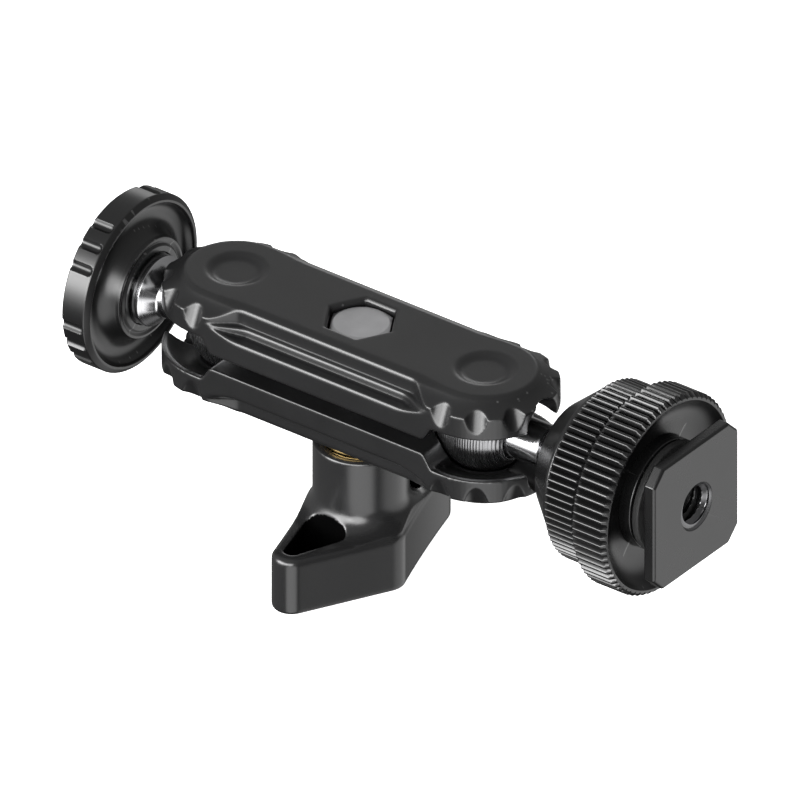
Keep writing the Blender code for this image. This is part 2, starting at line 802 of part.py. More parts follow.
def knurled_ring(radius, depth):
    """A ring of pointed teeth: the outline's points lie on the crests and in the valleys."""
    count = 2 * KNURL_TEETH
    return [
        (
            (radius - depth * (i % 2)) * math.cos(2 * math.pi * i / count),
            (radius - depth * (i % 2)) * math.sin(2 * math.pi * i / count),
        )
        for i in range(count)
    ]


def knurled_blank(name, radius, low, high, edge):
    """A disc with straight knurling between two bevelled edges, lying along X."""
    inner = knurled_ring(radius - KNURL_DEPTH, 0)
    teeth = knurled_ring(radius, KNURL_DEPTH)
    disc = lofted(name, [(inner, low), (teeth, low + edge), (teeth, high - edge), (inner, high)])
    return disc


def make_shoe_grip():
    """The knurled disc with a tapered neck that screws onto the right stem."""
    knurl_end = GRIP_X[1]
    grip = knurled_blank("shoe_grip", GRIP_RADIUS, GRIP_KNURL_X, knurl_end, KNURL_BEVEL)
    neck = turned(
        "neck",
        [
            (0, knurl_end - 1 * MM),
            (9.0 * MM, knurl_end - 1 * MM),
            (GRIP_NECK_RADII[1], GRIP_KNURL_X + 0.2 * MM),
            (GRIP_NECK_RADII[1], GRIP_KNURL_X - 0.8 * MM),
            (GRIP_NECK_RADII[0], GRIP_X[0]),
            (0, GRIP_X[0]),
        ],
        SEGMENTS,
        CUTTERS,
    )
    boolean(grip, neck, "UNION")
    bpy.context.view_layer.update()
    frozen(grip)
    remove_all([neck])
    post_bore = cylinder("post_bore", POST_RADIUS + GAP, POST_X[0] - GAP, knurl_end + 1 * MM)
    screw_bore = cylinder("screw_bore", INCH_THREAD_MAJOR, GRIP_X[0] - 1 * MM, knurl_end)
    cut(grip, [post_bore, screw_bore])
    return finish(along_x(grip), BLACK_ANODISED)


def make_shoe_lock_wheel():
    """The larger knurled wheel, dished on the side of the foot, with a raised hub."""
    low, high = WHEEL_X
    wheel = knurled_blank("shoe_lock_wheel", WHEEL_RADIUS, low, high, KNURL_BEVEL)
    above = high + 1 * MM
    profile = [(WHEEL_HUB_RADIUS, above), (WHEEL_DISH[0][0], above)]
    profile += [(radius, high - depth) for radius, depth in WHEEL_DISH]
    dish = turned("dish", profile, SEGMENTS, CUTTERS)
    hub_face = cylinder("hub_face", WHEEL_HUB_RADIUS + 0.5 * MM, WHEEL_HUB_X, high + 1 * MM, 24)
    bore = cylinder("bore", POST_RADIUS + GAP, low - 1 * MM, high + 1 * MM, 24)
    cut(wheel, [dish, hub_face, bore])
    return finish(along_x(wheel), BLACK_ANODISED)


def make_shoe_post():
    """The tube that the lock wheel runs on, with the 1/4"-20 thread inside it."""
    post = tube("shoe_post", POST_RADIUS, INCH_THREAD_MAJOR, POST_X[0], POST_X[1], 24)
    return finish(along_x(post), BLACK_ANODISED)


def make_shoe_washer():
    low, high = SHOE_WASHER_X
    washer = tube("shoe_washer", WHEEL_HUB_RADIUS, POST_RADIUS + GAP, low, high, 24)
    return finish(along_x(washer), BLACK_RUBBER)


def make_shoe_foot():
    """The square plate that slides into an accessory shoe, with bevelled corners."""
    half_w = FOOT_WIDTH / 2
    half_h = FOOT_HEIGHT / 2
    quarter = [(half_h, half_w - FOOT_CORNER), (half_h - FOOT_CORNER, half_w)]
    mirrored = [(-x, y) for x, y in reversed(quarter)]
    outline = quarter + mirrored
    foot = prism("shoe_foot", outline + half_turned(outline), FOOT_X[0], FOOT_X[1])
    bore = cylinder("bore", INCH_THREAD_MAJOR, FOOT_X[0] - 1 * MM, FOOT_X[1] + 1 * MM, 24)
    return finish(along_x(cut(foot, [bore])), BLACK_ANODISED)


# ---- assembly -------------------------------------------------------------------------------


def build_clamp():
    blank = make_jaw_blank()
    upper = make_upper_jaw(blank)
    lower = make_lower_jaw(blank)
    bpy.data.objects.remove(blank, do_unlink=True)
    fixed = [upper, make_clamp_bolt(), make_jaw_spring(), make_retaining_ring()]
    carry(pivot("frame"), fixed)
    carry(pivot("jaw_slide"), [lower, make_thrust_washer()])
    carry(pivot("knob_axis"), [make_wing_knob(), make_knob_insert(), make_knob_cap()])


def build_left_arm():
    carry(pivot("left_swing", -BALL_X), [make_ball("ball_left", -1)])
    carry(pivot("left_roll", -BALL_X), [make_stem("stem_left", -1, LEFT_SCREW_END)])
    carry(pivot("lock_disc_axis", DISC_OUTER_X), [make_lock_disc(), make_disc_pad()])


def build_right_arm():
    carry(pivot("right_swing", BALL_X), [make_ball("ball_right", 1)])
    stem = make_stem("stem_right", 1, RIGHT_SCREW_END)
    shoe = [make_shoe_grip(), make_shoe_post(), make_shoe_foot()]
    carry(pivot("right_roll", BALL_X), [stem] + shoe)
    carry(pivot("lock_wheel_axis", WHEEL_X[0]), [make_shoe_lock_wheel(), make_shoe_washer()])


build_clamp()
build_left_arm()
build_right_arm()
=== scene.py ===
"""Looks for the double ball-joint arm: finished meshes, materials, floor, light and camera.

Pieces are modelled in millimetres about the clamp bolt's axis, half way between the jaws, and then put
into the CAD part's frame in metres. +X points to the accessory shoe, -X to the lock disc, and the wing
knob hangs below the jaws.
"""

import math

import bmesh
import bpy
from mathutils import Matrix, Vector


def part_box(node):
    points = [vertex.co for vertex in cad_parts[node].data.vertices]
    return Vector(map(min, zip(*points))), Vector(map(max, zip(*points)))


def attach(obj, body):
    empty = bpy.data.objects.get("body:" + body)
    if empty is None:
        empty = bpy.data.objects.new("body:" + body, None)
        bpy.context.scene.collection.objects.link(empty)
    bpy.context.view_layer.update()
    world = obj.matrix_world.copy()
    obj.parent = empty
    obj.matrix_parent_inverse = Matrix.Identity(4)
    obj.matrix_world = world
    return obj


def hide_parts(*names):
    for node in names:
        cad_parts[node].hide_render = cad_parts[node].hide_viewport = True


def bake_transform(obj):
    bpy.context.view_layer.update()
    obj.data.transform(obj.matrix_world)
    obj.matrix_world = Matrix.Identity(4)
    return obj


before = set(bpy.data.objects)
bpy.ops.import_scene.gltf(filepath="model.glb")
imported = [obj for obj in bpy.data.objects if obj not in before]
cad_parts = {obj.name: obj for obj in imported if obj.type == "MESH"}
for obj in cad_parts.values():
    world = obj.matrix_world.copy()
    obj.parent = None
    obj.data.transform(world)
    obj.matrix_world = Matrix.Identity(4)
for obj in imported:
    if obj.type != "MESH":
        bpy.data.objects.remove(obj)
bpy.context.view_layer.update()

TO_METRES = 0.001
bolt_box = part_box("clamp_bolt")
BOLT_AXIS = Vector(((bolt_box[0].x + bolt_box[1].x) / 2, 0, 0))  # in the CAD part's frame
INTO_FRAME = Matrix.Translation(BOLT_AXIS) @ Matrix.Scale(TO_METRES, 4)


def box_mm(node):
    """(lowest corner, highest corner) of a CAD node, in millimetres from the bolt's axis."""
    low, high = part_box(node)
    return (low - BOLT_AXIS) / TO_METRES, (high - BOLT_AXIS) / TO_METRES


# ---- driving dimensions, in millimetres -----------------------------------------------------

INCH_THREAD_RADIUS = 3.175  # 1/4"-20
INCH_THREAD_PITCH = 1.27
INCH_THREAD_DEPTH = 0.62

ball_low, ball_high = box_mm("ball_right")
BALL_RADIUS = (ball_high.z - ball_low.z) / 2
BALL_X = ball_low.x + BALL_RADIUS
BALL_RING_PITCH = 0.37
BALL_RING_DEPTH = 0.045
SOCKET_RADIUS = BALL_RADIUS + 0.3

# jaws: heights are measured from the mid-plane between them
jaw_low, jaw_high = box_mm("upper_jaw")
JAW_END_RADIUS = jaw_high.y
JAW_TOP = jaw_high.z
LAND_HEIGHT = jaw_low.z
JAW_TOP_RADIUS = 6.92
JAW_TOP_HALF_WIDTH = 6.33  # the flat top between the two ends
JAW_SHOULDER = 6.48
BAND = (7.5, 8.03)  # half width and height where the soft band below the top ends
RIM_HEIGHT = 3.2
LAND_END_X = 17.3
LAND_STEP = 1.9  # length over which the land falls to the rim
RIM_ANNULUS = (9.25, 5.6)  # outer and inner radius of the shallow cone inside the rim
RIM_ANNULUS_DROP = 1.5
CHANNEL_END_X = 18.67
CHANNEL_UPPER = (7.5, 5.75)  # half width, floor height
CHANNEL_LOWER = (8.1, 4.5)
CHANNEL_FLARES = ((13.9, 18.67), (12.6, 18.3))  # where each channel's wall turns outwards and ends
CHANNEL_CHAMFER = (0.22, 0.44)  # width and height of the chamfer along each channel's edges
CHANNEL_RISE_X = 13.0  # the lower floor climbs from here to the upper one
LAND_POCKET = (5.6, 15.4, 6.4, 0.5)  # near end, far end, half width, depth
SCALLOP_RADIUS = 1.85
SCALLOP_ANGLES = (-90, -60, -30, 30, 60, 90)
SCALLOP_TOP = (8.4, 7.45)  # distance from the ball's axis, height
SCALLOP_FOOT = (10.0, 4.05)
DIMPLE_RADIUS = 4.55
DIMPLE_FLOOR_RADIUS = 2.6
DIMPLE_DEPTH = 0.5
NECK_SLOT_RADIUS = 3.2
NECK_SLOT_TILT = math.radians(20)
JAW_VOXEL = 0.16

# clamp bolt, spring and washer
bolt_low, bolt_high = box_mm("clamp_bolt")
BOLT_RADIUS = 2.5
BOLT_PITCH = 0.8
BOLT_THREAD_DEPTH = 0.4
BOLT_HEAD_TOP = bolt_high.z
BOLT_HEAD_SEAT = 4.8
BOLT_HEAD_FLATS = 8.0
HEX_RECESS_FLATS = 8.6
HEX_RECESS_CHAMFER = 0.4
BOLT_HOLE_RADIUS = 2.8
SPRING_POCKET_RADIUS = 4.4
SPRING_POCKET_TOP = 2.9
SPRING_WIRE_RADIUS = 0.35
SPRING_COIL_RADIUS = 3.6
SPRING_REACH = 2.25
SPRING_TURNS = 3.25
washer_low, washer_high = box_mm("thrust_washer")
WASHER_RADIUS = washer_high.y

# wing knob
knob_low, knob_high = box_mm("wing_knob")
KNOB_TOP = knob_high.z
KNOB_BOTTOM = knob_low.z
KNOB_HUB_RADIUS = 6.45
WING_TOP = -20.9
WING_TIP_RADIUS = 2.65
WING_TIP = (-0.65, -14.45)
WING_SHOULDER = (5.55, -2.35)
WING_SHOULDER_RADIUS = 3.0
WING_HOLLOW = (5.3, 7.0)  # control point of the hollow side
HUB_FLARE = 3.2  # radius of the hollow between the hub and the wings
POCKET_FLOOR = WING_TOP - 6
POCKET_RIGHT = (2.0, -7.95)
POCKET_LEFT = (-2.3, -7.85)
KNOB_BORE_RADIUS = 4.9
KNOB_VOXEL = 0.19
insert_low, insert_high = box_mm("knob_insert")
cap_low, cap_high = box_mm("knob_cap")

# stems: distances along X from the bolt's axis, alike on both sides
NECK_RADIUS = 3.0
STEM_START = BALL_X + 2.3
CONE_START = 31.4
FLANGE_START = 33.1
FLANGE_END = 34.2
FLANGE_RADIUS = 4.95

# lock disc, as distances along -X
disc_low, disc_high = box_mm("lock_disc")
DISC_RADIUS = disc_high.z
DISC_OUTER = -disc_low.x
DISC_INNER = -disc_high.x
GROOVE_RADIUS = 0.75
GROOVE_AXIS_RADIUS = DISC_RADIUS + 0.25
GROOVE_END = 37.2
GROOVE_PITCH = 14.5  # degrees between the three grooves of a group
GROOVE_GROUPS = (-42, 35, 112, 181, 250)  # degrees from +Z towards -Y
pad_low, pad_high = box_mm("disc_pad")

# accessory shoe
KNURL_TEETH = 72
KNURL_SEGMENTS = KNURL_TEETH * 12
KNURL_DEPTH = 0.8
KNURL_CREST = 0.28  # share of a tooth's pitch that stays at full height
grip_low, grip_high = box_mm("shoe_grip")
wheel_low, wheel_high = box_mm("shoe_lock_wheel")
post_low, post_high = box_mm("shoe_post")
shoe_washer_low, shoe_washer_high = box_mm("shoe_washer")
foot_low, foot_high = box_mm("shoe_foot")
GRIP_KNURL_START = 39.4
GRIP_NECK_RADII = (7.8, 11.5)
WHEEL_HUB_RADIUS = 7.8
WHEEL_HUB_X = 50.2
FOOT_CORNER = 2.1

# ---- marks on meshes that a material reads --------------------------------------------------

POCKET_SHADE_MARK = "hollow"  # point attribute: 1 inside the knob's pockets, which get painted shade: a near black colour and no shine
BARE_MARK = "bare"  # point attribute: 1 on a thread cut after anodising, which is bright metal
BARE_METAL = (0.16, 0.16, 0.165)

# ---- camera and light -----------------------------------------------------------------------

CAMERA_AZIMUTH = math.radians(36.91)
CAMERA_ELEVATION = math.radians(32.27)
CAMERA_DISTANCE = 500.0  # mm
VIEW_WIDTH = 105.6  # mm across the picture, which is a parallel view as in a product shot
VIEW_CENTRE = (5.14, -3.70)  # mm to the right and up, from the bolt to the picture's centre
FLOOR_GLOW = 1.0

# What the shiny black surfaces mirror, as (direction, spread in degrees, softness in degrees, strength)
LIGHT_CARDS = (
    ((-0.51, -0.81, 0.26), 11, 7, 13.0),  # key softbox, front left
    ((-0.51, -0.81, 0.26), 12, 22, 4.0),  # the glow around it
    ((-0.05, -0.97, 0.24), 11, 12, 11.0),  # wide low strip in front
    ((0.45, -0.86, 0.24), 11, 12, 10.0),
    ((0.51, -0.68, -0.53), 18, 14, 2.6),  # bright table in front
    ((0.60, 0.50, -0.55), 22, 22, 1.35),  # table at the right
    ((-0.50, 0.84, 0.22), 5, 6, 2.2),  # strip behind
)
SKY_TILT = (-0.3, 0.3, 0.9)  # the soft grey surroundings are brightest in this direction
SKY_RANGE = (0.03, 0.44)

# ---- material helpers -----------------------------------------------------------------------


class Look:
    """A material under construction: a Principled shader and short ways to feed its inputs."""

    def __init__(self, name, colour, roughness, metallic):
        self.material = bpy.data.materials.new(name)
        self.material.use_nodes = True
        self.nodes = self.material.node_tree.nodes
        self.links = self.material.node_tree.links
        self.shader = self.nodes["Principled BSDF"]
        self.shader.inputs["Base Color"].default_value = (*colour, 1)
        self.shader.inputs["Roughness"].default_value = roughness
        self.shader.inputs["Metallic"].default_value = metallic
        self.place = self.nodes.new("ShaderNodeTexCoord").outputs["Object"]
        self.bump = None

    def stretched(self, scale):
        """Object coordinates scaled by a different amount along each axis."""
        mapping = self.nodes.new("ShaderNodeMapping")
        mapping.inputs["Scale"].default_value = scale
        self.links.new(self.place, mapping.inputs["Vector"])
        return mapping.outputs["Vector"]

    def noise(self, scale, detail=3, vector=None):
        texture = self.nodes.new("ShaderNodeTexNoise")
        texture.inputs["Scale"].default_value = scale
        texture.inputs["Detail"].default_value = detail
        self.links.new(vector or self.place, texture.inputs["Vector"])
        return texture.outputs["Fac"]

    def ramped(self, value, low, high, from_low=0.3, from_high=0.7):
        """Maps a 0 to 1 value onto low to high."""
        spread = self.nodes.new("ShaderNodeMapRange")
        spread.inputs["From Min"].default_value = from_low
        spread.inputs["From Max"].default_value = from_high
        spread.inputs["To Min"].default_value = low
        spread.inputs["To Max"].default_value = high
        self.links.new(value, spread.inputs["Value"])
        return spread.outputs["Result"]

    def mixed(self, factor, first, second):
        mix = self.nodes.new("ShaderNodeMix")
        mix.data_type = "RGBA"
        self.links.new(factor, mix.inputs["Factor"])
        for socket, colour in ((mix.inputs[6], first), (mix.inputs[7], second)):
            if isinstance(colour, tuple):
                socket.default_value = (*colour, 1)
            else:
                self.links.new(colour, socket)
        return mix.outputs[2]

    def add_bump(self, height, distance, strength=1.0):
        """Stacks a bump, its distance in metres."""
        bump = self.nodes.new("ShaderNodeBump")
        bump.inputs["Distance"].default_value = distance
        bump.inputs["Strength"].default_value = strength
        self.links.new(height, bump.inputs["Height"])
        if self.bump is not None:
            self.links.new(self.bump, bump.inputs["Normal"])
        self.bump = bump.outputs["Normal"]
        self.links.new(self.bump, self.shader.inputs["Normal"])

    def edges(self, low, high):
        """0 on flats and 1 on sharp outer edges, from the mesh's pointiness."""
        geometry = self.nodes.new("ShaderNodeNewGeometry")
        return self.ramped(geometry.outputs["Pointiness"], 0, 1, low, high)

    def mark(self, name):
        """A point attribute of the mesh, 0 where a mesh has none."""
        attribute = self.nodes.new("ShaderNodeAttribute")
        attribute.attribute_name = name
        return attribute.outputs["Fac"]

    def set_colour(self, output):
        self.links.new(output, self.shader.inputs["Base Color"])

    def set_specular(self, output, low, high):
        """Specular level from a 0 to 1 value: low at 0, normal half way and high at 1."""
        curve = self.nodes.new("ShaderNodeFloatCurve")
        points = curve.mapping.curves[0].points
        points[0].location = (0.0, low)
        points[1].location = (1.0, high)
        points.new(0.35, 0.5)
        points.new(0.6, 0.5)
        curve.mapping.update()
        self.links.new(output, curve.inputs["Value"])
        self.links.new(curve.outputs["Value"], self.shader.inputs["Specular IOR Level"])

    def set_roughness(self, output):
        self.links.new(output, self.shader.inputs["Roughness"])


def anodised(name, colour, roughness, grain=0.000004):
    """Bead-blasted and dyed aluminium: fine grain and cloudy sheen, with a painted highlight (a lighter
    colour) on sharp outer edges and painted shade in concave corners, whose shine is turned down.
    """
    look = Look(name, colour, roughness, 0.0)
    cloud = look.noise(140, 3)
    fine = look.noise(9000, 2)
    paler = tuple(min(1.0, c * 1.15) for c in colour)
    edge_highlight_colour = tuple(min(1.0, c * 2.5 + 0.02) for c in colour)
    tinted = look.mixed(look.ramped(cloud, 0, 1), colour, paler)
    # painted highlight: sharp outer edges get a lighter colour
    edged = look.mixed(look.edges(0.57, 0.66), tinted, edge_highlight_colour)
    bare = look.mark(BARE_MARK)
    look.set_colour(look.mixed(bare, edged, BARE_METAL))
    look.links.new(bare, look.shader.inputs["Metallic"])
    look.set_roughness(look.ramped(cloud, roughness - 0.015, roughness + 0.015))
    # painted shade: concave corners lose most of their shine; sharp outer edges shine more
    look.set_specular(look.edges(0.465, 0.6), 0.03, 1.0)
    look.add_bump(fine, grain, 0.5)
    return look.material


def moulded_plastic(name, colour, roughness):
    """Glossy moulded plastic with a faint texture and soft flow marks, and painted shade where a mesh marks
    its pockets.
    """
    look = Look(name, colour, roughness, 0.0)
    flow = look.noise(90, 2, look.stretched((1, 1, 0.3)))
    texture = look.noise(3600, 2)
    # painted shade: marked pocket points turn near black and lose their shine
    hollow = look.mark(POCKET_SHADE_MARK)
    streaked = look.mixed(look.ramped(flow, 0, 1), colour, tuple(c * 1.3 for c in colour))
    look.set_colour(look.mixed(hollow, streaked, tuple(c * 0.1 for c in colour)))
    look.set_roughness(look.ramped(texture, roughness - 0.015, roughness + 0.02))
    look.links.new(look.ramped(hollow, 0.5, 0.01, 0, 1), look.shader.inputs["Specular IOR Level"])
    look.add_bump(flow, 0.00003, 0.25)
    look.add_bump(texture, 0.000001, 0.4)
    return look.material


def rubber(name, colour):
    """Dull rubber with a pebbled surface and dusty high spots."""
    look = Look(name, colour, 0.75, 0.0)
    pebble = look.noise(3500, 3)
    dust = look.noise(400, 4)
    look.set_colour(look.mixed(look.ramped(dust, 0, 1), colour, tuple(c * 1.8 for c in colour)))
    look.set_roughness(look.ramped(dust, 0.68, 0.85))
    look.add_bump(pebble, 0.00004, 0.6)
    return look.material


def turned_metal(name, colour, roughness, axis, lines=9000, depth=0.0000015):
    """Lathe-turned metal: hair lines that run around the given axis, and smudged sheen."""
    look = Look(name, colour, roughness, 1.0)
    scale = [12, 12, 12]
    scale["XYZ".index(axis)] = lines
    line = look.noise(1, 2, look.stretched(scale))
    smudge = look.noise(220, 4)
    darker = tuple(c * 0.86 for c in colour)
    look.set_colour(look.mixed(look.ramped(smudge, 0, 1), darker, colour))
    look.set_roughness(look.ramped(line, roughness * 0.75, roughness * 1.35))
    look.add_bump(line, depth, 0.6)
    return look.material


def satin_metal(name, colour, roughness):
    """Plated or blasted metal: fine even grain with faint tarnish."""
    look = Look(name, colour, roughness, 1.0)
    grain = look.noise(7000, 2)
    tarnish = look.noise(300, 5)
    look.set_colour(look.mixed(look.ramped(tarnish, 0, 1), tuple(c * 0.85 for c in colour), colour))
    look.set_roughness(look.ramped(grain, roughness - 0.05, roughness + 0.06))
    look.add_bump(grain, 0.000004, 0.5)
    return look.material


JAW_BLACK = anodised("jaw_black", (0.006, 0.006, 0.0062), 0.32)
DISC_BLACK = anodised("disc_black", (0.004, 0.004, 0.0041), 0.3, 0.000002)
SHOE_BLACK = anodised("shoe_black", (0.004, 0.004, 0.0041), 0.28, 0.000003)
KNOB_BLACK = moulded_plastic("knob_black", (0.009, 0.009, 0.0092), 0.24)
PAD_RUBBER = rubber("pad_rubber", (0.007, 0.007, 0.007))
BALL_STEEL = turned_metal("ball_steel", (0.24, 0.24, 0.245), 0.25, "X")
STEM_CHROME = turned_metal("stem_chrome", (0.5, 0.5, 0.51), 0.17, "X")
BOLT_STEEL = satin_metal("bolt_steel", (0.55, 0.55, 0.56), 0.34)
INSERT_BRASS = turned_metal("insert_brass", (0.8, 0.56, 0.22), 0.2, "Z")


# ---- shape helpers, in millimetres ----------------------------------------------------------


def arc(centre, radius, start, end, steps):
    """Points on an arc, angles in radians, both ends included."""
    angles = [start + (end - start) * i / steps for i in range(steps + 1)]
    return [(centre[0] + radius * math.cos(a), centre[1] + radius * math.sin(a)) for a in angles]


def curve_through(start, control, end, steps):
    """Points on a quadratic curve from start to end, both ends included."""
    points = []
    for i in range(steps + 1):
        t = i / steps
        weights = ((1 - t) ** 2, 2 * t * (1 - t), t**2)
        points.append(tuple(sum(w * p[k] for w, p in zip(weights, (start, control, end))) for k in (0, 1)))
    return points


def evenly(start, end, step):
    """Values from start to end, about a step apart."""
    count = max(1, round(abs(end - start) / step))
    return [start + (end - start) * i / count for i in range(count + 1)]


def filleted(corners, closed=True, steps=4):
    """An outline whose corners, given as (x, y, radius), become round. Radius 0 stays sharp."""
    outline = []
    count = len(corners)
    for i, (x, y, radius) in enumerate(corners):
        at_end = not closed and i in (0, count - 1)
        if radius == 0 or at_end:
            outline.append((x, y))
            continue
        corner = Vector((x, y))
        before = Vector(corners[i - 1][:2]) - corner
        after = Vector(corners[(i + 1) % count][:2]) - corner
        half_angle = before.angle(after) / 2
        reach = min(radius / math.tan(half_angle), 0.48 * before.length, 0.48 * after.length)
        start = corner + before.normalized() * reach
        end = corner + after.normalized() * reach
        outline += curve_through(start, corner, end, steps)
    return outline


def half_turned(points):
    return [(-x, -y) for x, y in points]


def new_object(name, mesh):
    obj = bpy.data.objects.new(name, mesh)
    bpy.context.scene.collection.objects.link(obj)
    return obj


def from_bmesh(name, shape):
    bmesh.ops.recalc_face_normals(shape, faces=shape.faces)
    mesh = bpy.data.meshes.new(name)
    shape.to_mesh(mesh)
    shape.free()
    return new_object(name, mesh)


def turned(name, profile, segments=128, radius_at=None):
    """(radius, height) points turned about Z. The profile is a loop, or runs from axis to axis.

    radius_at(radius, height, angle) may move a point in or out, for knurling, grooves and threads.
    """
    shape = bmesh.new()
    rings = []
    for radius, height in profile:
        ring = []
        for i in range(segments):
            angle = 2 * math.pi * i / segments
            r = radius_at(radius, height, angle) if radius_at else radius
            ring.append(shape.verts.new((r * math.cos(angle), r * math.sin(angle), height)))
        rings.append(ring)
    pairs = list(zip(rings, rings[1:]))
    if profile[0][0] > 0 and profile[-1][0] > 0:
        pairs.append((rings[-1], rings[0]))
    for lower, upper in pairs:
        for i in range(segments):
            j = (i + 1) % segments
            shape.faces.new((lower[i], lower[j], upper[j], upper[i]))
    bmesh.ops.remove_doubles(shape, verts=shape.verts, dist=1e-4)
    return from_bmesh(name, shape)


def cylinder(radius, low, high, segments=64, top_radius=None):
    """A cutter about local Z, from height low to height high."""
    shape = bmesh.new()
    bmesh.ops.create_cone(
        shape,
        cap_ends=True,
        segments=segments,
        radius1=radius,
        radius2=radius if top_radius is None else top_radius,
        depth=high - low,
    )
    bmesh.ops.translate(shape, verts=shape.verts, vec=(0, 0, (low + high) / 2))
    return from_bmesh("cutter", shape)


def block(low, high):
    """A box cutter between two opposite corners."""
    shape = bmesh.new()
    bmesh.ops.create_cube(shape, size=1)
    bmesh.ops.scale(shape, verts=shape.verts, vec=[b - a for a, b in zip(low, high)])
    bmesh.ops.translate(shape, verts=shape.verts, vec=[(a + b) / 2 for a, b in zip(low, high)])
    return from_bmesh("cutter", shape)


def lofted(name, rings):
    """A closed solid through rings of equal point count, each ring being ([(x, y)], height)."""
    shape = bmesh.new()
    loops = [[shape.verts.new((x, y, height)) for x, y in outline] for outline, height in rings]
    for lower, upper in zip(loops, loops[1:]):
        for i in range(len(lower)):
            j = (i + 1) % len(lower)
            shape.faces.new((lower[i], lower[j], upper[j], upper[i]))
    shape.faces.new(loops[0])
    shape.faces.new(loops[-1])
    return from_bmesh(name, shape)


def prism(outline, low, high):
    return lofted("cutter", [(outline, low), (outline, high)])


def frozen(obj):
    """The same object with its modifiers made into its mesh."""
    bpy.context.view_layer.update()
    graph = bpy.context.evaluated_depsgraph_get()
    mesh = bpy.data.meshes.new_from_object(obj.evaluated_get(graph))
    obj.modifiers.clear()
    obj.data = mesh
    return obj


def combine(obj, others, operation="DIFFERENCE"):
    """Cuts, joins or intersects other closed shapes, and clears them away."""
    for other in others:
        modifier = obj.modifiers.new("boolean", "BOOLEAN")
        modifier.operation = operation
        modifier.solver = "MANIFOLD"
        modifier.object = other
    frozen(obj)
    for other in others:
        bpy.data.objects.remove(other, do_unlink=True)
    return obj


def joined(obj, others):
    """Puts other meshes into an object without merging them."""
    shape = bmesh.new()
    shape.from_mesh(obj.data)
    for other in others:
        bpy.context.view_layer.update()
        other.data.transform(other.matrix_world)
        shape.from_mesh(other.data)
        bpy.data.objects.remove(other, do_unlink=True)
    shape.to_mesh(obj.data)
    shape.free()
    return obj


def softened(obj, voxel, rounds):
    """Remeshes a hard-edged solid finely, then relaxes it so that every edge gets a small round."""
    remesh = obj.modifiers.new("remesh", "REMESH")
    remesh.mode = "VOXEL"
    remesh.voxel_size = voxel
    relax = obj.modifiers.new("relax", "SMOOTH")
    relax.factor = 0.5
    relax.iterations = rounds
    return frozen(obj)


def along_x(obj, side=1):
    """Lays a piece turned about Z along +X (side 1) or -X (side -1), its local X pointing down."""
    obj.data.transform(Matrix.Rotation(side * math.pi / 2, 4, "Y"))
    return obj


def finish(obj, name, look, body, weighted=True):
    """Puts a piece into the CAD part's frame, shades it, and lets it replace the node of that name."""
    obj.name = name + "_look"
    obj.data.transform(INTO_FRAME)
    obj.data.materials.clear()
    obj.data.materials.append(look)
    obj.data.shade_smooth()
    if weighted:
        obj.data.set_sharp_from_angle(angle=math.radians(40))
        normals = obj.modifiers.new("normals", "WEIGHTED_NORMAL")
        normals.keep_sharp = True
    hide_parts(name)
    if body:
        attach(obj, body)
    return obj


# ---- jaws -----------------------------------------------------------------------------------


def stadium(radius, steps=40):
    """The jaw's plan outline: a half circle about each ball, joined by straight sides."""
    right = arc((BALL_X, 0), radius, -math.pi / 2, math.pi / 2, steps)
    straight = [(x, radius) for x in evenly(BALL_X, -BALL_X, 1.0)[1:-1]]
    return right + straight + half_turned(right + straight)


def waisted(outline, radius, half_width):
    """Draws the long sides of a stadium in from the end radius to a half width, in an S-curve."""
    result = []
    for x, y in outline:
        share = 1 - eased(abs(x), BALL_X - 6.5, BALL_X - 1.0)
        result.append((x, y * (1 - share * (1 - half_width / radius))))
    return result


def eased(x, start, end):
    """0 before start and 1 after end, with a smooth S between them."""
    t = min(1, max(0, (x - start) / (end - start)))
    return t * t * (3 - 2 * t)


def shoulder_height(y):
    """Height of the jaw's top surface at a distance from its middle, outside the flat."""
    profile = ((JAW_TOP_HALF_WIDTH, JAW_TOP), BAND, (8.6, 7.2), (JAW_END_RADIUS + 0.1, JAW_SHOULDER - 0.05))
    for (y0, z0), (y1, z1) in zip(profile, profile[1:]):
        if y <= y1:
            return z0 + (z1 - z0) * max(0, y - y0) / (y1 - y0)
    return profile[-1][1]


def channel_cutters():
    """Two steps along each side. Their walls run out in an S, and the lower floor climbs to meet them."""
    upper_floor = CHANNEL_UPPER[1]
    above = JAW_TOP + 1
    outside = JAW_END_RADIUS + 1
    side_y = JAW_END_RADIUS + 0.02
    cutters = []
    for (half_width, floor), (start, end) in zip((CHANNEL_UPPER, CHANNEL_LOWER), CHANNEL_FLARES):
        upper = floor == upper_floor
        sections = []
        for x in evenly(-CHANNEL_END_X, CHANNEL_END_X, 0.4):
            share = eased(abs(x), start, end)
            wall = half_width + share * (side_y - half_width)
            climb = max(0, abs(x) - CHANNEL_RISE_X) / (CHANNEL_END_X - CHANNEL_RISE_X)
            bottom = floor + (upper_floor - floor) * climb**1.6
            across, down = (size * (1 - 0.7 * share) for size in CHANNEL_CHAMFER)
            brim = shoulder_height(wall - across) if upper else upper_floor
            down = min(down, 0.45 * (brim - bottom))
            outline = [(wall - across, brim + 0.01), (wall, brim - down), (wall, bottom)]
            if not upper:
                outline += [(side_y - across, bottom), (side_y, bottom - down)]
            outline += [(outside, bottom - down), (outside, above), (wall - across, above)]
            sections.append((outline, x))
        for side in (1, -1):
            rings = [([(side * y, z) for y, z in outline], x) for outline, x in sections]
            cutter = lofted("cutter", rings)
            # local X, Y and Z become Y, Z and X
            cutter.data.transform(Matrix(((0, 0, 1, 0), (1, 0, 0, 0), (0, 1, 0, 0), (0, 0, 0, 1))))
            cutters.append(cutter)
    return cutters


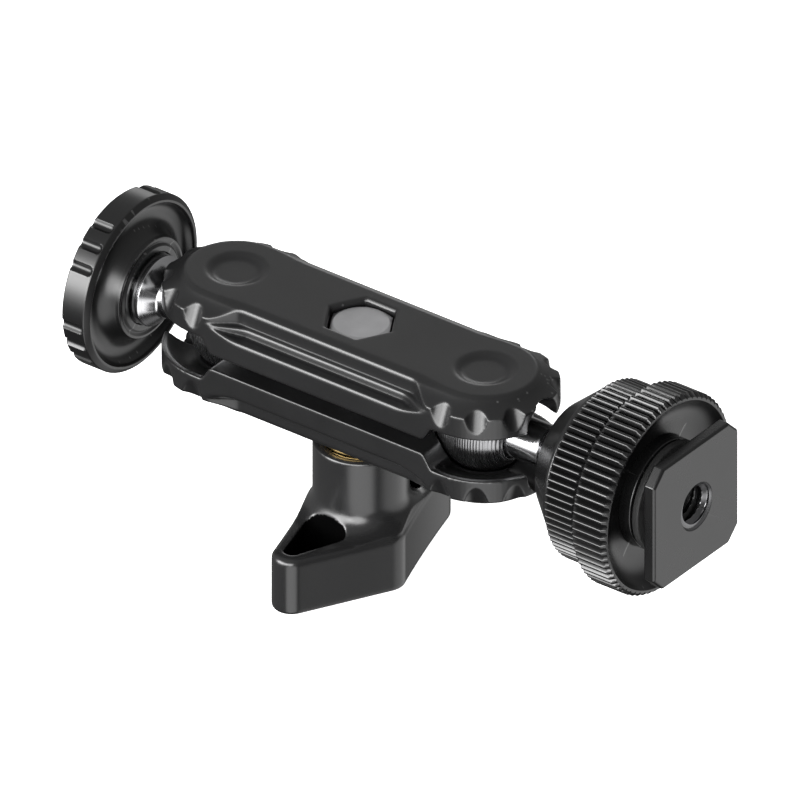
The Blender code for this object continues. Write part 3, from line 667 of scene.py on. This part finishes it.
def scallop_cutters():
    """Round notches in the shoulder of both ends, every 30 degrees beside the neck slot."""
    run = SCALLOP_FOOT[0] - SCALLOP_TOP[0]
    fall = SCALLOP_TOP[1] - SCALLOP_FOOT[1]
    lean = math.atan2(run, fall)
    middle = [(a + b) / 2 for a, b in zip(SCALLOP_TOP, SCALLOP_FOOT)]
    reach = middle[0] + SCALLOP_RADIUS * math.cos(lean)
    height = middle[1] + SCALLOP_RADIUS * math.sin(lean)
    cutters = []
    for side in (1, -1):
        for degrees in SCALLOP_ANGLES:
            heading = math.radians(degrees) + (0 if side > 0 else math.pi)
            cutter = cylinder(SCALLOP_RADIUS, -4, 4)
            place = Matrix.Translation((side * BALL_X, 0, 0))
            place @= Matrix.Rotation(heading, 4, "Z")
            place @= Matrix.Translation((reach, 0, height))
            place @= Matrix.Rotation(-lean, 4, "Y")
            cutter.data.transform(place)
            cutters.append(cutter)
    return cutters


def end_cutters(side):
    """What is cut from one end: ball socket, rim step, dimple and the slot for the neck."""
    ball = Matrix.Translation((side * BALL_X, 0, 0))
    shape = bmesh.new()
    bmesh.ops.create_uvsphere(shape, u_segments=96, v_segments=48, radius=SOCKET_RADIUS)
    socket = from_bmesh("cutter", shape)
    socket.data.transform(ball)

    far = BALL_X + 2 * JAW_END_RADIUS
    drop = RIM_HEIGHT - LAND_HEIGHT
    fall = []
    for x in evenly(LAND_END_X, LAND_END_X + LAND_STEP, 0.12):
        fall.append((side * x, LAND_HEIGHT + drop * eased(x, LAND_END_X, LAND_END_X + LAND_STEP)))
    below = [(side * far, RIM_HEIGHT), (side * far, -1), (side * LAND_END_X, -1)]
    rim = prism(fall + below, -far, far)
    rim.data.transform(Matrix.Rotation(math.pi / 2, 4, "X"))

    outer, inner = RIM_ANNULUS
    deep = RIM_HEIGHT + RIM_ANNULUS_DROP
    annulus = turned("cutter", [(0, 0), (outer, 0), (outer, RIM_HEIGHT), (inner, deep), (0, deep)], 160)
    annulus.data.transform(ball)
    start = LAND_END_X + LAND_STEP - 0.3
    reach = 2 * JAW_END_RADIUS
    combine(annulus, [block((-start, -reach, -1), (start, reach, deep + 1))])

    floor_end = (DIMPLE_FLOOR_RADIUS, -DIMPLE_DEPTH)
    middle = ((DIMPLE_FLOOR_RADIUS + DIMPLE_RADIUS) / 2, -DIMPLE_DEPTH / 2)
    brim = (DIMPLE_RADIUS, 0.02)
    profile = [(0, -DIMPLE_DEPTH)]
    profile += curve_through(floor_end, (middle[0] - 0.45, -DIMPLE_DEPTH), middle, 8)
    profile += curve_through(middle, (middle[0] + 0.45, 0), brim, 8)[1:]
    profile += [(DIMPLE_RADIUS, 1), (0, 1)]
    dimple = turned("cutter", profile, 96)
    dimple.data.transform(Matrix.Translation((side * BALL_X, 0, JAW_TOP)))

    slot_round = cylinder(NECK_SLOT_RADIUS, 0, 2 * JAW_END_RADIUS, 96)
    slot_round.data.transform(ball @ Matrix.Rotation(side * (math.pi / 2 - NECK_SLOT_TILT), 4, "Y"))
    slot_below = block((0, -NECK_SLOT_RADIUS, -JAW_END_RADIUS), (2 * JAW_END_RADIUS, NECK_SLOT_RADIUS, 0))
    turn = Matrix.Rotation(0 if side > 0 else math.pi, 4, "Z") @ Matrix.Rotation(-NECK_SLOT_TILT, 4, "Y")
    slot_below.data.transform(ball @ turn)
    return [socket, rim, annulus, dimple, slot_round, slot_below]


def land_pockets():
    """A shallow round-ended recess in the inner face, on each side of the bolt."""
    near, far, half_width, depth = LAND_POCKET
    near_corner, far_corner = 1.0, 3.0
    corners = [(near, half_width, near_corner), (near, -half_width, near_corner)]
    corners += [(far, -half_width, far_corner), (far, half_width, far_corner)]
    outline = filleted(corners, steps=10)
    pockets = []
    for side in (1, -1):
        plan = [(side * x, y) for x, y in outline]
        pockets.append(prism(plan, LAND_HEIGHT - 1, LAND_HEIGHT + depth))
    return pockets


def make_jaw_blank():
    """The shape that both jaws share, made as the upper one."""
    plain = stadium(JAW_END_RADIUS)
    cove = curve_through((JAW_END_RADIUS, JAW_SHOULDER), (8.45, 7.12), BAND, 8)
    rings = [(plain, LAND_HEIGHT), (plain, JAW_SHOULDER - 0.05)]
    rings += [(stadium(radius), height) for radius, height in cove]
    top = waisted(stadium(JAW_TOP_RADIUS), JAW_TOP_RADIUS, JAW_TOP_HALF_WIDTH)
    rings.append((top, JAW_TOP))
    jaw = lofted("jaw", rings)
    spring_pocket = cylinder(SPRING_POCKET_RADIUS, 0, SPRING_POCKET_TOP)
    bolt_hole = cylinder(BOLT_HOLE_RADIUS, 0, 2 * JAW_TOP)
    cutters = channel_cutters() + scallop_cutters() + end_cutters(1) + end_cutters(-1)
    return combine(jaw, cutters + land_pockets() + [spring_pocket, bolt_hole])


def hexagon(flats, low, high, top_flats=None):
    """A hexagonal shape about Z, with corners on the X axis."""
    to_corner = 1 / math.sqrt(3)
    top = None if top_flats is None else top_flats * to_corner
    made = cylinder(flats * to_corner, low, high, 6, top)
    made.data.transform(Matrix.Rotation(math.radians(30), 4, "Z"))
    return made


def make_upper_jaw(blank):
    jaw = new_object("upper", blank.data.copy())
    chamfer = HEX_RECESS_CHAMFER
    recess = hexagon(HEX_RECESS_FLATS, BOLT_HEAD_SEAT - 0.3, JAW_TOP + 1)
    mouth = hexagon(HEX_RECESS_FLATS, JAW_TOP - chamfer, JAW_TOP + chamfer, HEX_RECESS_FLATS + 3 * chamfer)
    combine(jaw, [recess, mouth])
    softened(jaw, JAW_VOXEL, 5)
    return finish(jaw, "upper_jaw", JAW_BLACK, "frame", weighted=False)


def make_lower_jaw(blank):
    jaw = new_object("lower", blank.data.copy())
    combine(jaw, [cylinder(WASHER_RADIUS + 0.3, -washer_high.z - 0.3, 2 * JAW_TOP, 96)])
    jaw.data.transform(Matrix.Rotation(math.pi, 4, "X"))
    softened(jaw, JAW_VOXEL, 5)
    return finish(jaw, "lower_jaw", JAW_BLACK, "lower_jaw_body", weighted=False)


# ---- clamp bolt, spring, washer -------------------------------------------------------------


def outer_thread(major, pitch, depth, start, end):
    """A V thread cut into a rod between two heights."""

    def radius_at(radius, height, angle):
        if not start < height < end:
            return radius
        turn = (height / pitch - angle / (2 * math.pi)) % 1
        wave = min(1, 1.25 * abs(2 * turn - 1))
        return min(radius, major - depth * (1 - wave))

    return radius_at


def inner_thread(major, pitch, depth, start, end):
    """A V thread that stands into a bore between two heights."""

    def radius_at(radius, height, angle):
        if not start < height < end or radius > major + 0.01:
            return radius
        turn = (height / pitch - angle / (2 * math.pi)) % 1
        wave = min(1, 1.25 * abs(2 * turn - 1))
        return major - depth * (1 - wave)

    return radius_at


def rod(radius, low, high, step, chamfer):
    """The profile of a rod from high to low, with points close enough to carry a thread."""
    side = [(radius, z) for z in evenly(high - chamfer, low + chamfer, step)]
    return [(0, high), (radius - chamfer, high)] + side + [(radius - chamfer, low), (0, low)]


def make_clamp_bolt():
    shank_top = BOLT_HEAD_SEAT + 0.6
    thread = outer_thread(BOLT_RADIUS, BOLT_PITCH, BOLT_THREAD_DEPTH, bolt_low.z + 0.2, 4.0)
    profile = rod(BOLT_RADIUS, bolt_low.z, shank_top, 0.1, 0.4)
    shank = turned("shank", profile, 64, thread)
    head = hexagon(BOLT_HEAD_FLATS, BOLT_HEAD_SEAT, BOLT_HEAD_TOP)
    corner = BOLT_HEAD_FLATS / math.sqrt(3)
    crown = filleted(
        [
            (0, BOLT_HEAD_TOP, 0),
            (BOLT_HEAD_FLATS / 2 - 0.25, BOLT_HEAD_TOP, 0.35),
            (corner + 0.05, BOLT_HEAD_TOP - 0.5, 0),
            (corner + 0.05, BOLT_HEAD_SEAT, 0),
            (0, BOLT_HEAD_SEAT, 0),
        ],
        closed=False,
    )
    combine(head, [turned("crown", crown, 96)], "INTERSECT")
    joined(head, [shank])
    return finish(head, "clamp_bolt", BOLT_STEEL, "frame")


def make_jaw_spring():
    """An open coil of round wire."""
    per_turn = 48
    count = round(SPRING_TURNS * per_turn)
    curve = bpy.data.curves.new("spring", "CURVE")
    curve.dimensions = "3D"
    curve.bevel_depth = SPRING_WIRE_RADIUS
    curve.bevel_resolution = 4
    curve.use_fill_caps = True
    spline = curve.splines.new("POLY")
    spline.points.add(count)
    for i, point in enumerate(spline.points):
        angle = 2 * math.pi * i / per_turn
        height = -SPRING_REACH + 2 * SPRING_REACH * i / count
        point.co = (SPRING_COIL_RADIUS * math.cos(angle), SPRING_COIL_RADIUS * math.sin(angle), height, 1)
    guide = new_object("spring_guide", curve)
    bpy.context.view_layer.update()
    mesh = bpy.data.meshes.new_from_object(guide.evaluated_get(bpy.context.evaluated_depsgraph_get()))
    bpy.data.objects.remove(guide, do_unlink=True)
    spring = finish(new_object("spring", mesh), "jaw_spring", BOLT_STEEL, None, weighted=False)
    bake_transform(spring)
    return spring


def make_thrust_washer():
    low, high, outer, inner = washer_low.z, washer_high.z, WASHER_RADIUS, BOLT_HOLE_RADIUS
    corners = [(outer, high, 0.15), (outer, low, 0.15), (inner, low, 0.1), (inner, high, 0.1)]
    washer = turned("washer", filleted(corners), 96)
    return finish(washer, "thrust_washer", BOLT_STEEL, "lower_jaw_body")


# ---- wing knob ------------------------------------------------------------------------------


def wing_outline(grow=0.0):
    """The knob's plan: two wings along Y, each with one straight and one hollow side."""
    run = WING_SHOULDER[0] - WING_TIP[0]
    rise = WING_SHOULDER[1] - WING_TIP[1]
    lean = math.atan2(rise, run)
    swell = math.asin((WING_SHOULDER_RADIUS - WING_TIP_RADIUS) / math.hypot(run, rise))
    straight = lean - math.pi / 2 - swell
    tip = arc(WING_TIP, WING_TIP_RADIUS + grow, math.radians(-165), straight, 24)
    shoulder = arc(WING_SHOULDER, WING_SHOULDER_RADIUS + grow, straight, math.radians(20), 20)
    next_tip = half_turned(tip)[0]
    hollow = curve_through(shoulder[-1], WING_HOLLOW, next_tip, 24)
    half = tip + shoulder + hollow[1:-1]
    return half + half_turned(half)


def pocket_outline(grow=0.0):
    """The rounded triangular pocket in the top of the wing at -Y."""
    radius = 1.1 + grow
    tip = arc((WING_TIP[0], WING_TIP[1] + 0.2), radius, math.radians(-165), math.radians(-24), 12)
    right = arc(POCKET_RIGHT, radius, math.radians(-24), math.radians(88), 12)
    left = arc(POCKET_LEFT, radius, math.radians(88), math.radians(195), 12)
    return tip + right + left


def is_inside(point, outline):
    """Whether a point lies inside a closed outline, by counting the edges beside it."""
    x, y = point
    inside = False
    for (x0, y0), (x1, y1) in zip(outline, outline[1:] + outline[:1]):
        if (y0 > y) != (y1 > y) and x < x0 + (x1 - x0) * (y - y0) / (y1 - y0):
            inside = not inside
    return inside


def mark_pockets(knob):
    """Marks the points inside both pockets, for painted shade there: near black plastic without shine."""
    outline = pocket_outline(0.04)
    nearest = -max(y for x, y in outline)
    highest = WING_TOP + HUB_FLARE
    marks = knob.data.attributes.new(POCKET_SHADE_MARK, "FLOAT", "POINT")
    for vertex, mark in zip(knob.data.vertices, marks.data):
        x, y, z = vertex.co
        if abs(y) < nearest or not POCKET_FLOOR - 0.3 < z < highest:
            continue
        point = (x, y) if y < 0 else (-x, -y)
        mark.value = 1.0 if is_inside(point, outline) else 0.0


def make_wing_knob():
    edge = 0.9
    rings = [
        (wing_outline(-0.5), KNOB_BOTTOM),
        (wing_outline(-0.12), KNOB_BOTTOM + 0.15),
        (wing_outline(), KNOB_BOTTOM + 0.5),
    ]
    for point in arc((0, 0), edge, 0, math.pi / 2, 6):
        rings.append((wing_outline(point[0] - edge), WING_TOP - edge + point[1]))
    knob = lofted("knob", rings)
    hub = KNOB_HUB_RADIUS
    profile = [(0, KNOB_TOP), (hub - 0.5, KNOB_TOP)]
    profile += curve_through((hub - 0.4, KNOB_TOP), (hub, KNOB_TOP), (hub, KNOB_TOP - 0.4), 5)
    profile += [(hub, WING_TOP - 2.5), (0, WING_TOP - 2.5)]
    flare = arc((hub + HUB_FLARE, WING_TOP + HUB_FLARE), HUB_FLARE, math.pi, 1.5 * math.pi, 16)
    cone_foot = [(hub + HUB_FLARE, WING_TOP - 1), (0, WING_TOP - 1)]
    cone = turned("flare", [(0, WING_TOP + HUB_FLARE)] + flare + cone_foot, 160)
    combine(cone, [prism(wing_outline(-0.3), WING_TOP - 2, WING_TOP + HUB_FLARE + 1)], "INTERSECT")
    combine(knob, [turned("hub", profile, 160), cone], "UNION")
    bore = cylinder(KNOB_BORE_RADIUS, KNOB_BOTTOM - 1, KNOB_TOP + 1)
    cap_seat = cylinder(cap_high.y + 0.3, KNOB_BOTTOM - 1, cap_high.z + 0.3, 96)
    pockets = []
    for side in (1, -1):
        plan = [(side * x, side * y) for x, y in pocket_outline()]
        pockets.append(prism(plan, POCKET_FLOOR, WING_TOP + HUB_FLARE))
    combine(knob, [bore, cap_seat] + pockets)
    softened(knob, KNOB_VOXEL, 8)
    mark_pockets(knob)
    return finish(knob, "wing_knob", KNOB_BLACK, "knob", weighted=False)


def make_knob_insert():
    flange, body, bore = 5.2, 4.6, BOLT_HOLE_RADIUS
    high, low = insert_high.z, insert_low.z
    corners = [
        (flange, high, 0.12),
        (flange, high - 0.7, 0.1),
        (body, high - 0.7, 0),
        (body, low, 0.2),
        (bore, low, 0.2),
        (bore, high, 0.3),
    ]
    insert = turned("insert", filleted(corners), 96)
    return finish(insert, "knob_insert", INSERT_BRASS, "knob")


def make_knob_cap():
    """A shallow dished cap with a raised rim, seen from below."""
    radius, high, low = cap_high.y, cap_high.z, cap_low.z
    corners = [
        (0, high, 0),
        (radius, high, 0.1),
        (radius, low, 0.25),
        (radius - 0.9, low, 0.25),
        (radius - 1.4, low + 0.35, 0.2),
        (0, low + 0.35, 0),
    ]
    cap = turned("cap", filleted(corners, closed=False), 96)
    return finish(cap, "knob_cap", KNOB_BLACK, "knob")


# ---- balls and stems ------------------------------------------------------------------------


def make_ball(name, side):
    """A ball with fine rings left by turning, and a bore for the neck."""
    bore = NECK_RADIUS + 0.3
    mouth = math.sqrt(BALL_RADIUS**2 - bore**2)
    start = math.atan2(mouth, bore)
    count = 420
    profile = [(0, 2.0), (bore, 2.0), (bore, mouth - 0.25)]
    for i in range(count + 1):
        angle = start - 0.03 - (start - 0.03 + math.pi / 2) * i / count
        height = math.sin(angle) * BALL_RADIUS
        ring = 0.5 - 0.5 * math.cos(2 * math.pi * height / BALL_RING_PITCH)
        radius = BALL_RADIUS - BALL_RING_DEPTH * ring * math.cos(angle)
        profile.append((radius * math.cos(angle), radius * math.sin(angle)))
    profile[-1] = (0, profile[-1][1])
    ball = along_x(turned(name, profile, 96), side)
    ball.data.transform(Matrix.Translation((side * BALL_X, 0, 0)))
    body = "right_ball" if side > 0 else "left_ball"
    return finish(ball, name, BALL_STEEL, body, weighted=False)


def make_stem(name, side, screw_end, body):
    """Polished neck, cone and flange, with the threaded screw beyond it."""
    screw = INCH_THREAD_RADIUS - 0.3
    neck = filleted(
        [
            (0, STEM_START, 0),
            (NECK_RADIUS, STEM_START, 0.2),
            (NECK_RADIUS, CONE_START, 0.8),
            (FLANGE_RADIUS - 0.15, FLANGE_START, 0.1),
            (FLANGE_RADIUS, FLANGE_START + 0.15, 0.08),
            (FLANGE_RADIUS, FLANGE_END, 0.1),
            (screw, FLANGE_END, 0.1),
            (screw, FLANGE_END + 0.4, 0),
        ],
        closed=False,
        steps=6,
    )
    thread_part = [(screw, z) for z in evenly(FLANGE_END + 0.45, screw_end - 0.6, 0.09)]
    profile = neck + thread_part + [(screw - 0.6, screw_end), (0, screw_end)]
    thread = outer_thread(screw, INCH_THREAD_PITCH, INCH_THREAD_DEPTH, FLANGE_END + 0.5, screw_end - 0.3)
    stem = along_x(turned(name, profile, 96, thread), side)
    return finish(stem, name, STEM_CHROME, body)


# ---- lock disc ------------------------------------------------------------------------------


def grooved_rim(radius, height, angle):
    """Half-round grooves in groups of three, open to the outer face and rounded at their inner end."""
    if radius < DISC_RADIUS - 1.2:
        return radius
    for group in GROOVE_GROUPS:
        for step in (-1, 0, 1):
            centre = math.radians(group + step * GROOVE_PITCH)
            off = math.atan2(math.sin(angle - centre), math.cos(angle - centre))
            across = radius * math.sin(off)
            if abs(off) > 0.2 or abs(across) > GROOVE_RADIUS:
                continue
            beyond = max(0, GROOVE_END - height)
            depth = GROOVE_RADIUS**2 - across**2 - beyond**2
            if depth > 0:
                radius = min(radius, GROOVE_AXIS_RADIUS - math.sqrt(depth))
    return radius


def make_lock_disc():
    outer, inner = DISC_OUTER, DISC_INNER
    rim = DISC_RADIUS
    pad_out = pad_high.z + 0.3
    pad_in = 4.5
    pad_floor = 39.3
    bore = INCH_THREAD_RADIUS
    boss = filleted(
        [
            (bore, inner + 0.3, 0),
            (5.0, inner + 0.25, 0.1),
            (5.15, inner, 0.12),
            (5.9, inner, 0.25),
            (6.3, inner + 0.35, 0.2),
            (6.75, inner + 0.12, 0.15),
            (7.1, inner + 0.15, 0.15),
            (7.2, inner + 0.6, 0),
        ],
        closed=False,
        steps=6,
    )
    fall = curve_through((7.25, inner + 0.7), (8.2, inner + 3.0), (9.6, inner + 3.0), 24)
    rise = curve_through((9.65, inner + 3.0), (10.8, inner + 3.0), (11.4, inner + 1.8), 16)
    edge = filleted(
        [
            (11.4, inner + 1.7, 0),
            (11.5, inner + 1.45, 0.12),
            (11.8, inner + 1.45, 0.15),
            (rim, inner + 2.0, 0.3),
            (rim, inner + 2.3, 0),
        ],
        closed=False,
        steps=6,
    )
    face = boss + fall + rise + edge
    side = [(rim, x) for x in evenly(inner + 2.35, outer - 0.3, 0.12)]
    back = filleted(
        [
            (rim, outer - 0.25, 0),
            (rim - 0.25, outer, 0),
            (pad_out, outer, 0.1),
            (pad_out, pad_floor, 0),
            (pad_in, pad_floor, 0),
            (pad_in, outer, 0.1),
            (bore, outer, 0.2),
        ],
        closed=False,
    )
    # angles are measured from +Z towards -Y once the disc lies along -X
    disc = turned("disc", face + side + back, 720, lambda r, x, a: grooved_rim(r, x, math.pi / 2 + a))
    disc.data.transform(Matrix.Rotation(math.pi / 2, 4, "Z"))
    along_x(disc, -1)
    return finish(disc, "lock_disc", DISC_BLACK, "disc")


def make_disc_pad():
    """A rubber ring with two shallow grooves in its outer face."""
    inner, outer = 4.8, pad_high.z
    floor, face = -pad_high.x, -pad_low.x
    corners = [(inner, floor, 0), (inner, face, 0.25)]
    for middle in (6.6, 8.9):
        corners += [(middle - 0.5, face, 0.1), (middle - 0.2, face - 0.3, 0.1)]
        corners += [(middle + 0.2, face - 0.3, 0.1), (middle + 0.5, face, 0.1)]
    corners += [(outer, face, 0.25), (outer, floor, 0)]
    pad = along_x(turned("pad", filleted(corners), 160), -1)
    return finish(pad, "disc_pad", PAD_RUBBER, "disc_carrier")


# ---- accessory shoe -------------------------------------------------------------------------


def knurled(crest):
    """Straight V-grooves with narrow crests around a rim. They run out over its bevels."""

    def radius_at(radius, height, angle):
        turn = (angle * KNURL_TEETH / (2 * math.pi)) % 1
        from_crest = max(0, 2 * min(turn, 1 - turn) - KNURL_CREST) / (1 - KNURL_CREST)
        return min(radius, crest - KNURL_DEPTH * min(1, 1.1 * from_crest))

    return radius_at


def make_shoe_grip():
    """The knurled disc with a tapered neck that screws onto the right stem."""
    start, end = grip_low.x, grip_high.x
    crest = grip_high.z
    neck_start, neck_end = GRIP_NECK_RADII
    bore = INCH_THREAD_RADIUS
    corners = [
        (bore, start, 0.2),
        (neck_start, start, 0.35),
        (neck_end - 0.1, GRIP_KNURL_START - 0.8, 0.3),
        (neck_end + 0.1, GRIP_KNURL_START - 0.35, 0.2),
        (neck_end, GRIP_KNURL_START - 0.1, 0.1),
        (crest - 0.6, GRIP_KNURL_START, 0.1),
        (crest, GRIP_KNURL_START + 0.45, 0.1),
        (crest, end - 0.45, 0.1),
        (crest - 0.6, end, 0.1),
        (post_high.z + 0.3, end, 0.2),
        (post_high.z + 0.3, post_low.x - 0.3, 0),
        (bore, post_low.x - 0.3, 0),
    ]
    grip = along_x(turned("grip", filleted(corners), KNURL_SEGMENTS, knurled(crest)))
    return finish(grip, "shoe_grip", SHOE_BLACK, "right_stem")


def make_shoe_lock_wheel():
    """The larger knurled wheel, dished on the side of the foot, with a raised hub."""
    start, end = wheel_low.x, wheel_high.x
    crest = wheel_high.z
    hub = WHEEL_HUB_RADIUS
    bore = post_high.z + 0.3
    corners = [
        (bore, start, 0.2),
        (crest - 0.65, start, 0.1),
        (crest, start + 0.5, 0.1),
        (crest, end - 0.65, 0.1),
        (crest - 0.55, end - 0.05, 0.15),
        (13.3, end, 0.15),
        (13.1, end - 0.3, 0),
    ]
    dish = curve_through((13.05, end - 0.35), (11.4, end - 2.6), (hub + 0.1, end - 2.4), 28)
    inside = [(hub, end - 2.4, 0), (hub, WHEEL_HUB_X, 0.25), (bore, WHEEL_HUB_X, 0.2), (bore, start + 0.2, 0)]
    profile = filleted(corners, closed=False) + dish + filleted(inside, closed=False)
    wheel = along_x(turned("wheel", profile, KNURL_SEGMENTS, knurled(crest)))
    return finish(wheel, "shoe_lock_wheel", SHOE_BLACK, "wheel")


def make_shoe_post():
    """The tube that the lock wheel runs on, threaded inside and out."""
    start, end = post_low.x, post_high.x
    outer, bore = post_high.z, INCH_THREAD_RADIUS
    outside = [(outer, x) for x in evenly(end - 0.3, start + 0.3, 0.09)]
    inside = [(bore, x) for x in evenly(start, end, 0.09)]
    profile = [(outer - 0.3, end)] + outside + [(outer - 0.3, start)] + inside
    wind_out = outer_thread(outer, 1.0, 0.45, start + 0.4, end - 0.1)
    wind_in = inner_thread(bore, INCH_THREAD_PITCH, INCH_THREAD_DEPTH, start + 0.1, end + 1)

    def radius_at(radius, height, angle):
        return wind_out(radius, height, angle) if radius > bore + 0.5 else wind_in(radius, height, angle)

    post = along_x(turned("post", profile, 96, radius_at))
    return finish(post, "shoe_post", SHOE_BLACK, "right_stem")


def make_shoe_washer():
    start, end = shoe_washer_low.x, shoe_washer_high.x
    inner, outer = post_high.z + 0.3, shoe_washer_high.z
    corners = [(inner, start, 0.1), (outer, start, 0.2), (outer, end, 0.25), (inner, end, 0.2)]
    washer = along_x(turned("washer", filleted(corners), 128))
    return finish(washer, "shoe_washer", PAD_RUBBER, "washer_carrier")


def foot_outline(inset=0.0):
    half_w = foot_high.y - inset
    half_h = foot_high.z - inset
    corner = FOOT_CORNER - 0.4 * inset
    quarter = [(half_h, half_w - corner), (half_h - corner, half_w)]
    mirrored = [(-x, y) for x, y in reversed(quarter)]
    outline = quarter + mirrored
    return outline + half_turned(outline)


def make_shoe_foot():
    """The square plate that slides into an accessory shoe, with a threaded hole."""
    start, end = foot_low.x, foot_high.x
    bore = INCH_THREAD_RADIUS
    bevel = 0.3
    rings = [
        (foot_outline(bevel), start),
        (foot_outline(), start + bevel),
        (foot_outline(), end - bevel),
        (foot_outline(bevel), end),
    ]
    foot = lofted("foot", rings)
    round_edges = foot.modifiers.new("edges", "BEVEL")
    round_edges.width = 0.12
    round_edges.segments = 2
    round_edges.limit_method = "ANGLE"
    round_edges.angle_limit = math.radians(20)
    frozen(foot)
    hole = [(0, start - 1), (bore, start - 1), (bore, end - bevel)]
    hole += [(bore + bevel, end), (bore + bevel, end + 1), (0, end + 1)]
    combine(foot, [turned("hole", hole, 96)])
    inside = [(bore, x) for x in evenly(start + 0.05, end - 0.3, 0.07)]
    sleeve_profile = inside + [(bore + 0.4, end - 0.35), (bore + 0.4, start + 0.05)]
    wind = inner_thread(bore, INCH_THREAD_PITCH, INCH_THREAD_DEPTH, start - 1, end - 0.2)
    joined(foot, [turned("sleeve", sleeve_profile, 128, wind)])
    marks = foot.data.attributes.new(BARE_MARK, "FLOAT", "POINT")
    for vertex, mark in zip(foot.data.vertices, marks.data):
        in_bore = math.hypot(vertex.co.x, vertex.co.y) < bore + 0.05
        mark.value = 1.0 if in_bore and vertex.co.z < end - 0.25 else 0.0
    return finish(along_x(foot), "shoe_foot", SHOE_BLACK, "right_stem")


# ---- hidden pieces keep their CAD shape -----------------------------------------------------


def repaint(node, look):
    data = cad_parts[node].data
    data.materials.clear()
    data.materials.append(look)


# ---- floor, light, camera -------------------------------------------------------------------


def make_floor():
    """A pale floor that stays white. Reflections see the light cards instead of it."""
    shape = bmesh.new()
    bmesh.ops.create_grid(shape, x_segments=8, y_segments=8, size=15)
    floor = from_bmesh("floor", shape)
    floor.location = INTO_FRAME @ Vector((0, 0, KNOB_BOTTOM - 0.2))
    look = Look("floor_white", (0.85, 0.85, 0.85), 0.7, 0.0)
    grain = look.noise(60, 3)
    look.set_colour(look.mixed(look.ramped(grain, 0, 1), (0.84, 0.84, 0.84), (0.86, 0.86, 0.86)))
    look.shader.inputs["Emission Color"].default_value = (1, 1, 1, 1)
    look.shader.inputs["Emission Strength"].default_value = FLOOR_GLOW
    floor.data.materials.append(look.material)
    floor.visible_glossy = False
    floor.visible_diffuse = False


def make_world():
    """Grey surroundings with soft light cards, and plain white where the camera sees past the floor."""
    world = bpy.data.worlds.new("studio")
    bpy.context.scene.world = world
    world.use_nodes = True
    nodes, links = world.node_tree.nodes, world.node_tree.links
    surroundings = nodes["Background"]
    surroundings.inputs["Color"].default_value = (1, 1, 1, 1)
    direction = nodes.new("ShaderNodeTexCoord").outputs["Generated"]

    def facing(towards, from_low, from_high, low, high, smooth):
        """Maps how far a ray points towards a direction onto low to high."""
        dot = nodes.new("ShaderNodeVectorMath")
        dot.operation = "DOT_PRODUCT"
        dot.inputs[1].default_value = Vector(towards).normalized()
        links.new(direction, dot.inputs[0])
        spread = nodes.new("ShaderNodeMapRange")
        spread.interpolation_type = "SMOOTHSTEP" if smooth else "LINEAR"
        for name, value in (
            ("From Min", from_low),
            ("From Max", from_high),
            ("To Min", low),
            ("To Max", high),
        ):
            spread.inputs[name].default_value = value
        links.new(dot.outputs["Value"], spread.inputs["Value"])
        return spread.outputs["Result"]

    total = facing(SKY_TILT, -0.7, 0.9, *SKY_RANGE, smooth=False)
    for towards, spread, softness, strength in LIGHT_CARDS:
        outer = math.cos(math.radians(spread + softness))
        inner = math.cos(math.radians(spread))
        card = facing(towards, outer, inner, 0.0, strength, smooth=True)
        add = nodes.new("ShaderNodeMath")
        links.new(total, add.inputs[0])
        links.new(card, add.inputs[1])
        total = add.outputs["Value"]
    links.new(total, surroundings.inputs["Strength"])
    white = nodes.new("ShaderNodeBackground")
    white.inputs["Strength"].default_value = 1.0
    mix = nodes.new("ShaderNodeMixShader")
    links.new(nodes.new("ShaderNodeLightPath").outputs["Is Camera Ray"], mix.inputs["Fac"])
    links.new(surroundings.outputs["Background"], mix.inputs[1])
    links.new(white.outputs["Background"], mix.inputs[2])
    links.new(mix.outputs["Shader"], nodes["World Output"].inputs["Surface"])


def make_camera():
    """A parallel view down on the long side, with the shoe end nearest."""
    backwards = Vector(
        (
            math.sin(CAMERA_AZIMUTH) * math.cos(CAMERA_ELEVATION),
            -math.cos(CAMERA_AZIMUTH) * math.cos(CAMERA_ELEVATION),
            math.sin(CAMERA_ELEVATION),
        )
    )
    right = Vector((math.cos(CAMERA_AZIMUTH), math.sin(CAMERA_AZIMUTH), 0))
    up = backwards.cross(right)
    aim = INTO_FRAME @ (right * VIEW_CENTRE[0] + up * VIEW_CENTRE[1])
    data = bpy.data.cameras.new("camera")
    data.type = "ORTHO"
    data.ortho_scale = VIEW_WIDTH * TO_METRES
    camera = bpy.data.objects.new("camera", data)
    bpy.context.scene.collection.objects.link(camera)
    camera.location = aim + backwards * CAMERA_DISTANCE * TO_METRES
    camera.rotation_euler = Matrix((right, up, backwards)).transposed().to_euler()
    bpy.context.scene.camera = camera


# ---- assembly -------------------------------------------------------------------------------

jaw_blank = make_jaw_blank()
make_upper_jaw(jaw_blank)
make_lower_jaw(jaw_blank)
bpy.data.objects.remove(jaw_blank, do_unlink=True)
make_clamp_bolt()
make_jaw_spring()
make_thrust_washer()
make_wing_knob()
make_knob_insert()
make_knob_cap()
make_ball("ball_left", -1)
make_ball("ball_right", 1)
make_stem("stem_left", -1, -box_mm("stem_left")[0].x, "left_stem")
make_stem("stem_right", 1, box_mm("stem_right")[1].x, "right_stem")
make_lock_disc()
make_disc_pad()
make_shoe_grip()
make_shoe_lock_wheel()
make_shoe_post()
make_shoe_washer()
make_shoe_foot()
repaint("retaining_ring", BOLT_STEEL)

make_floor()
make_world()
make_camera()
bpy.context.scene.view_settings.view_transform = "Standard"
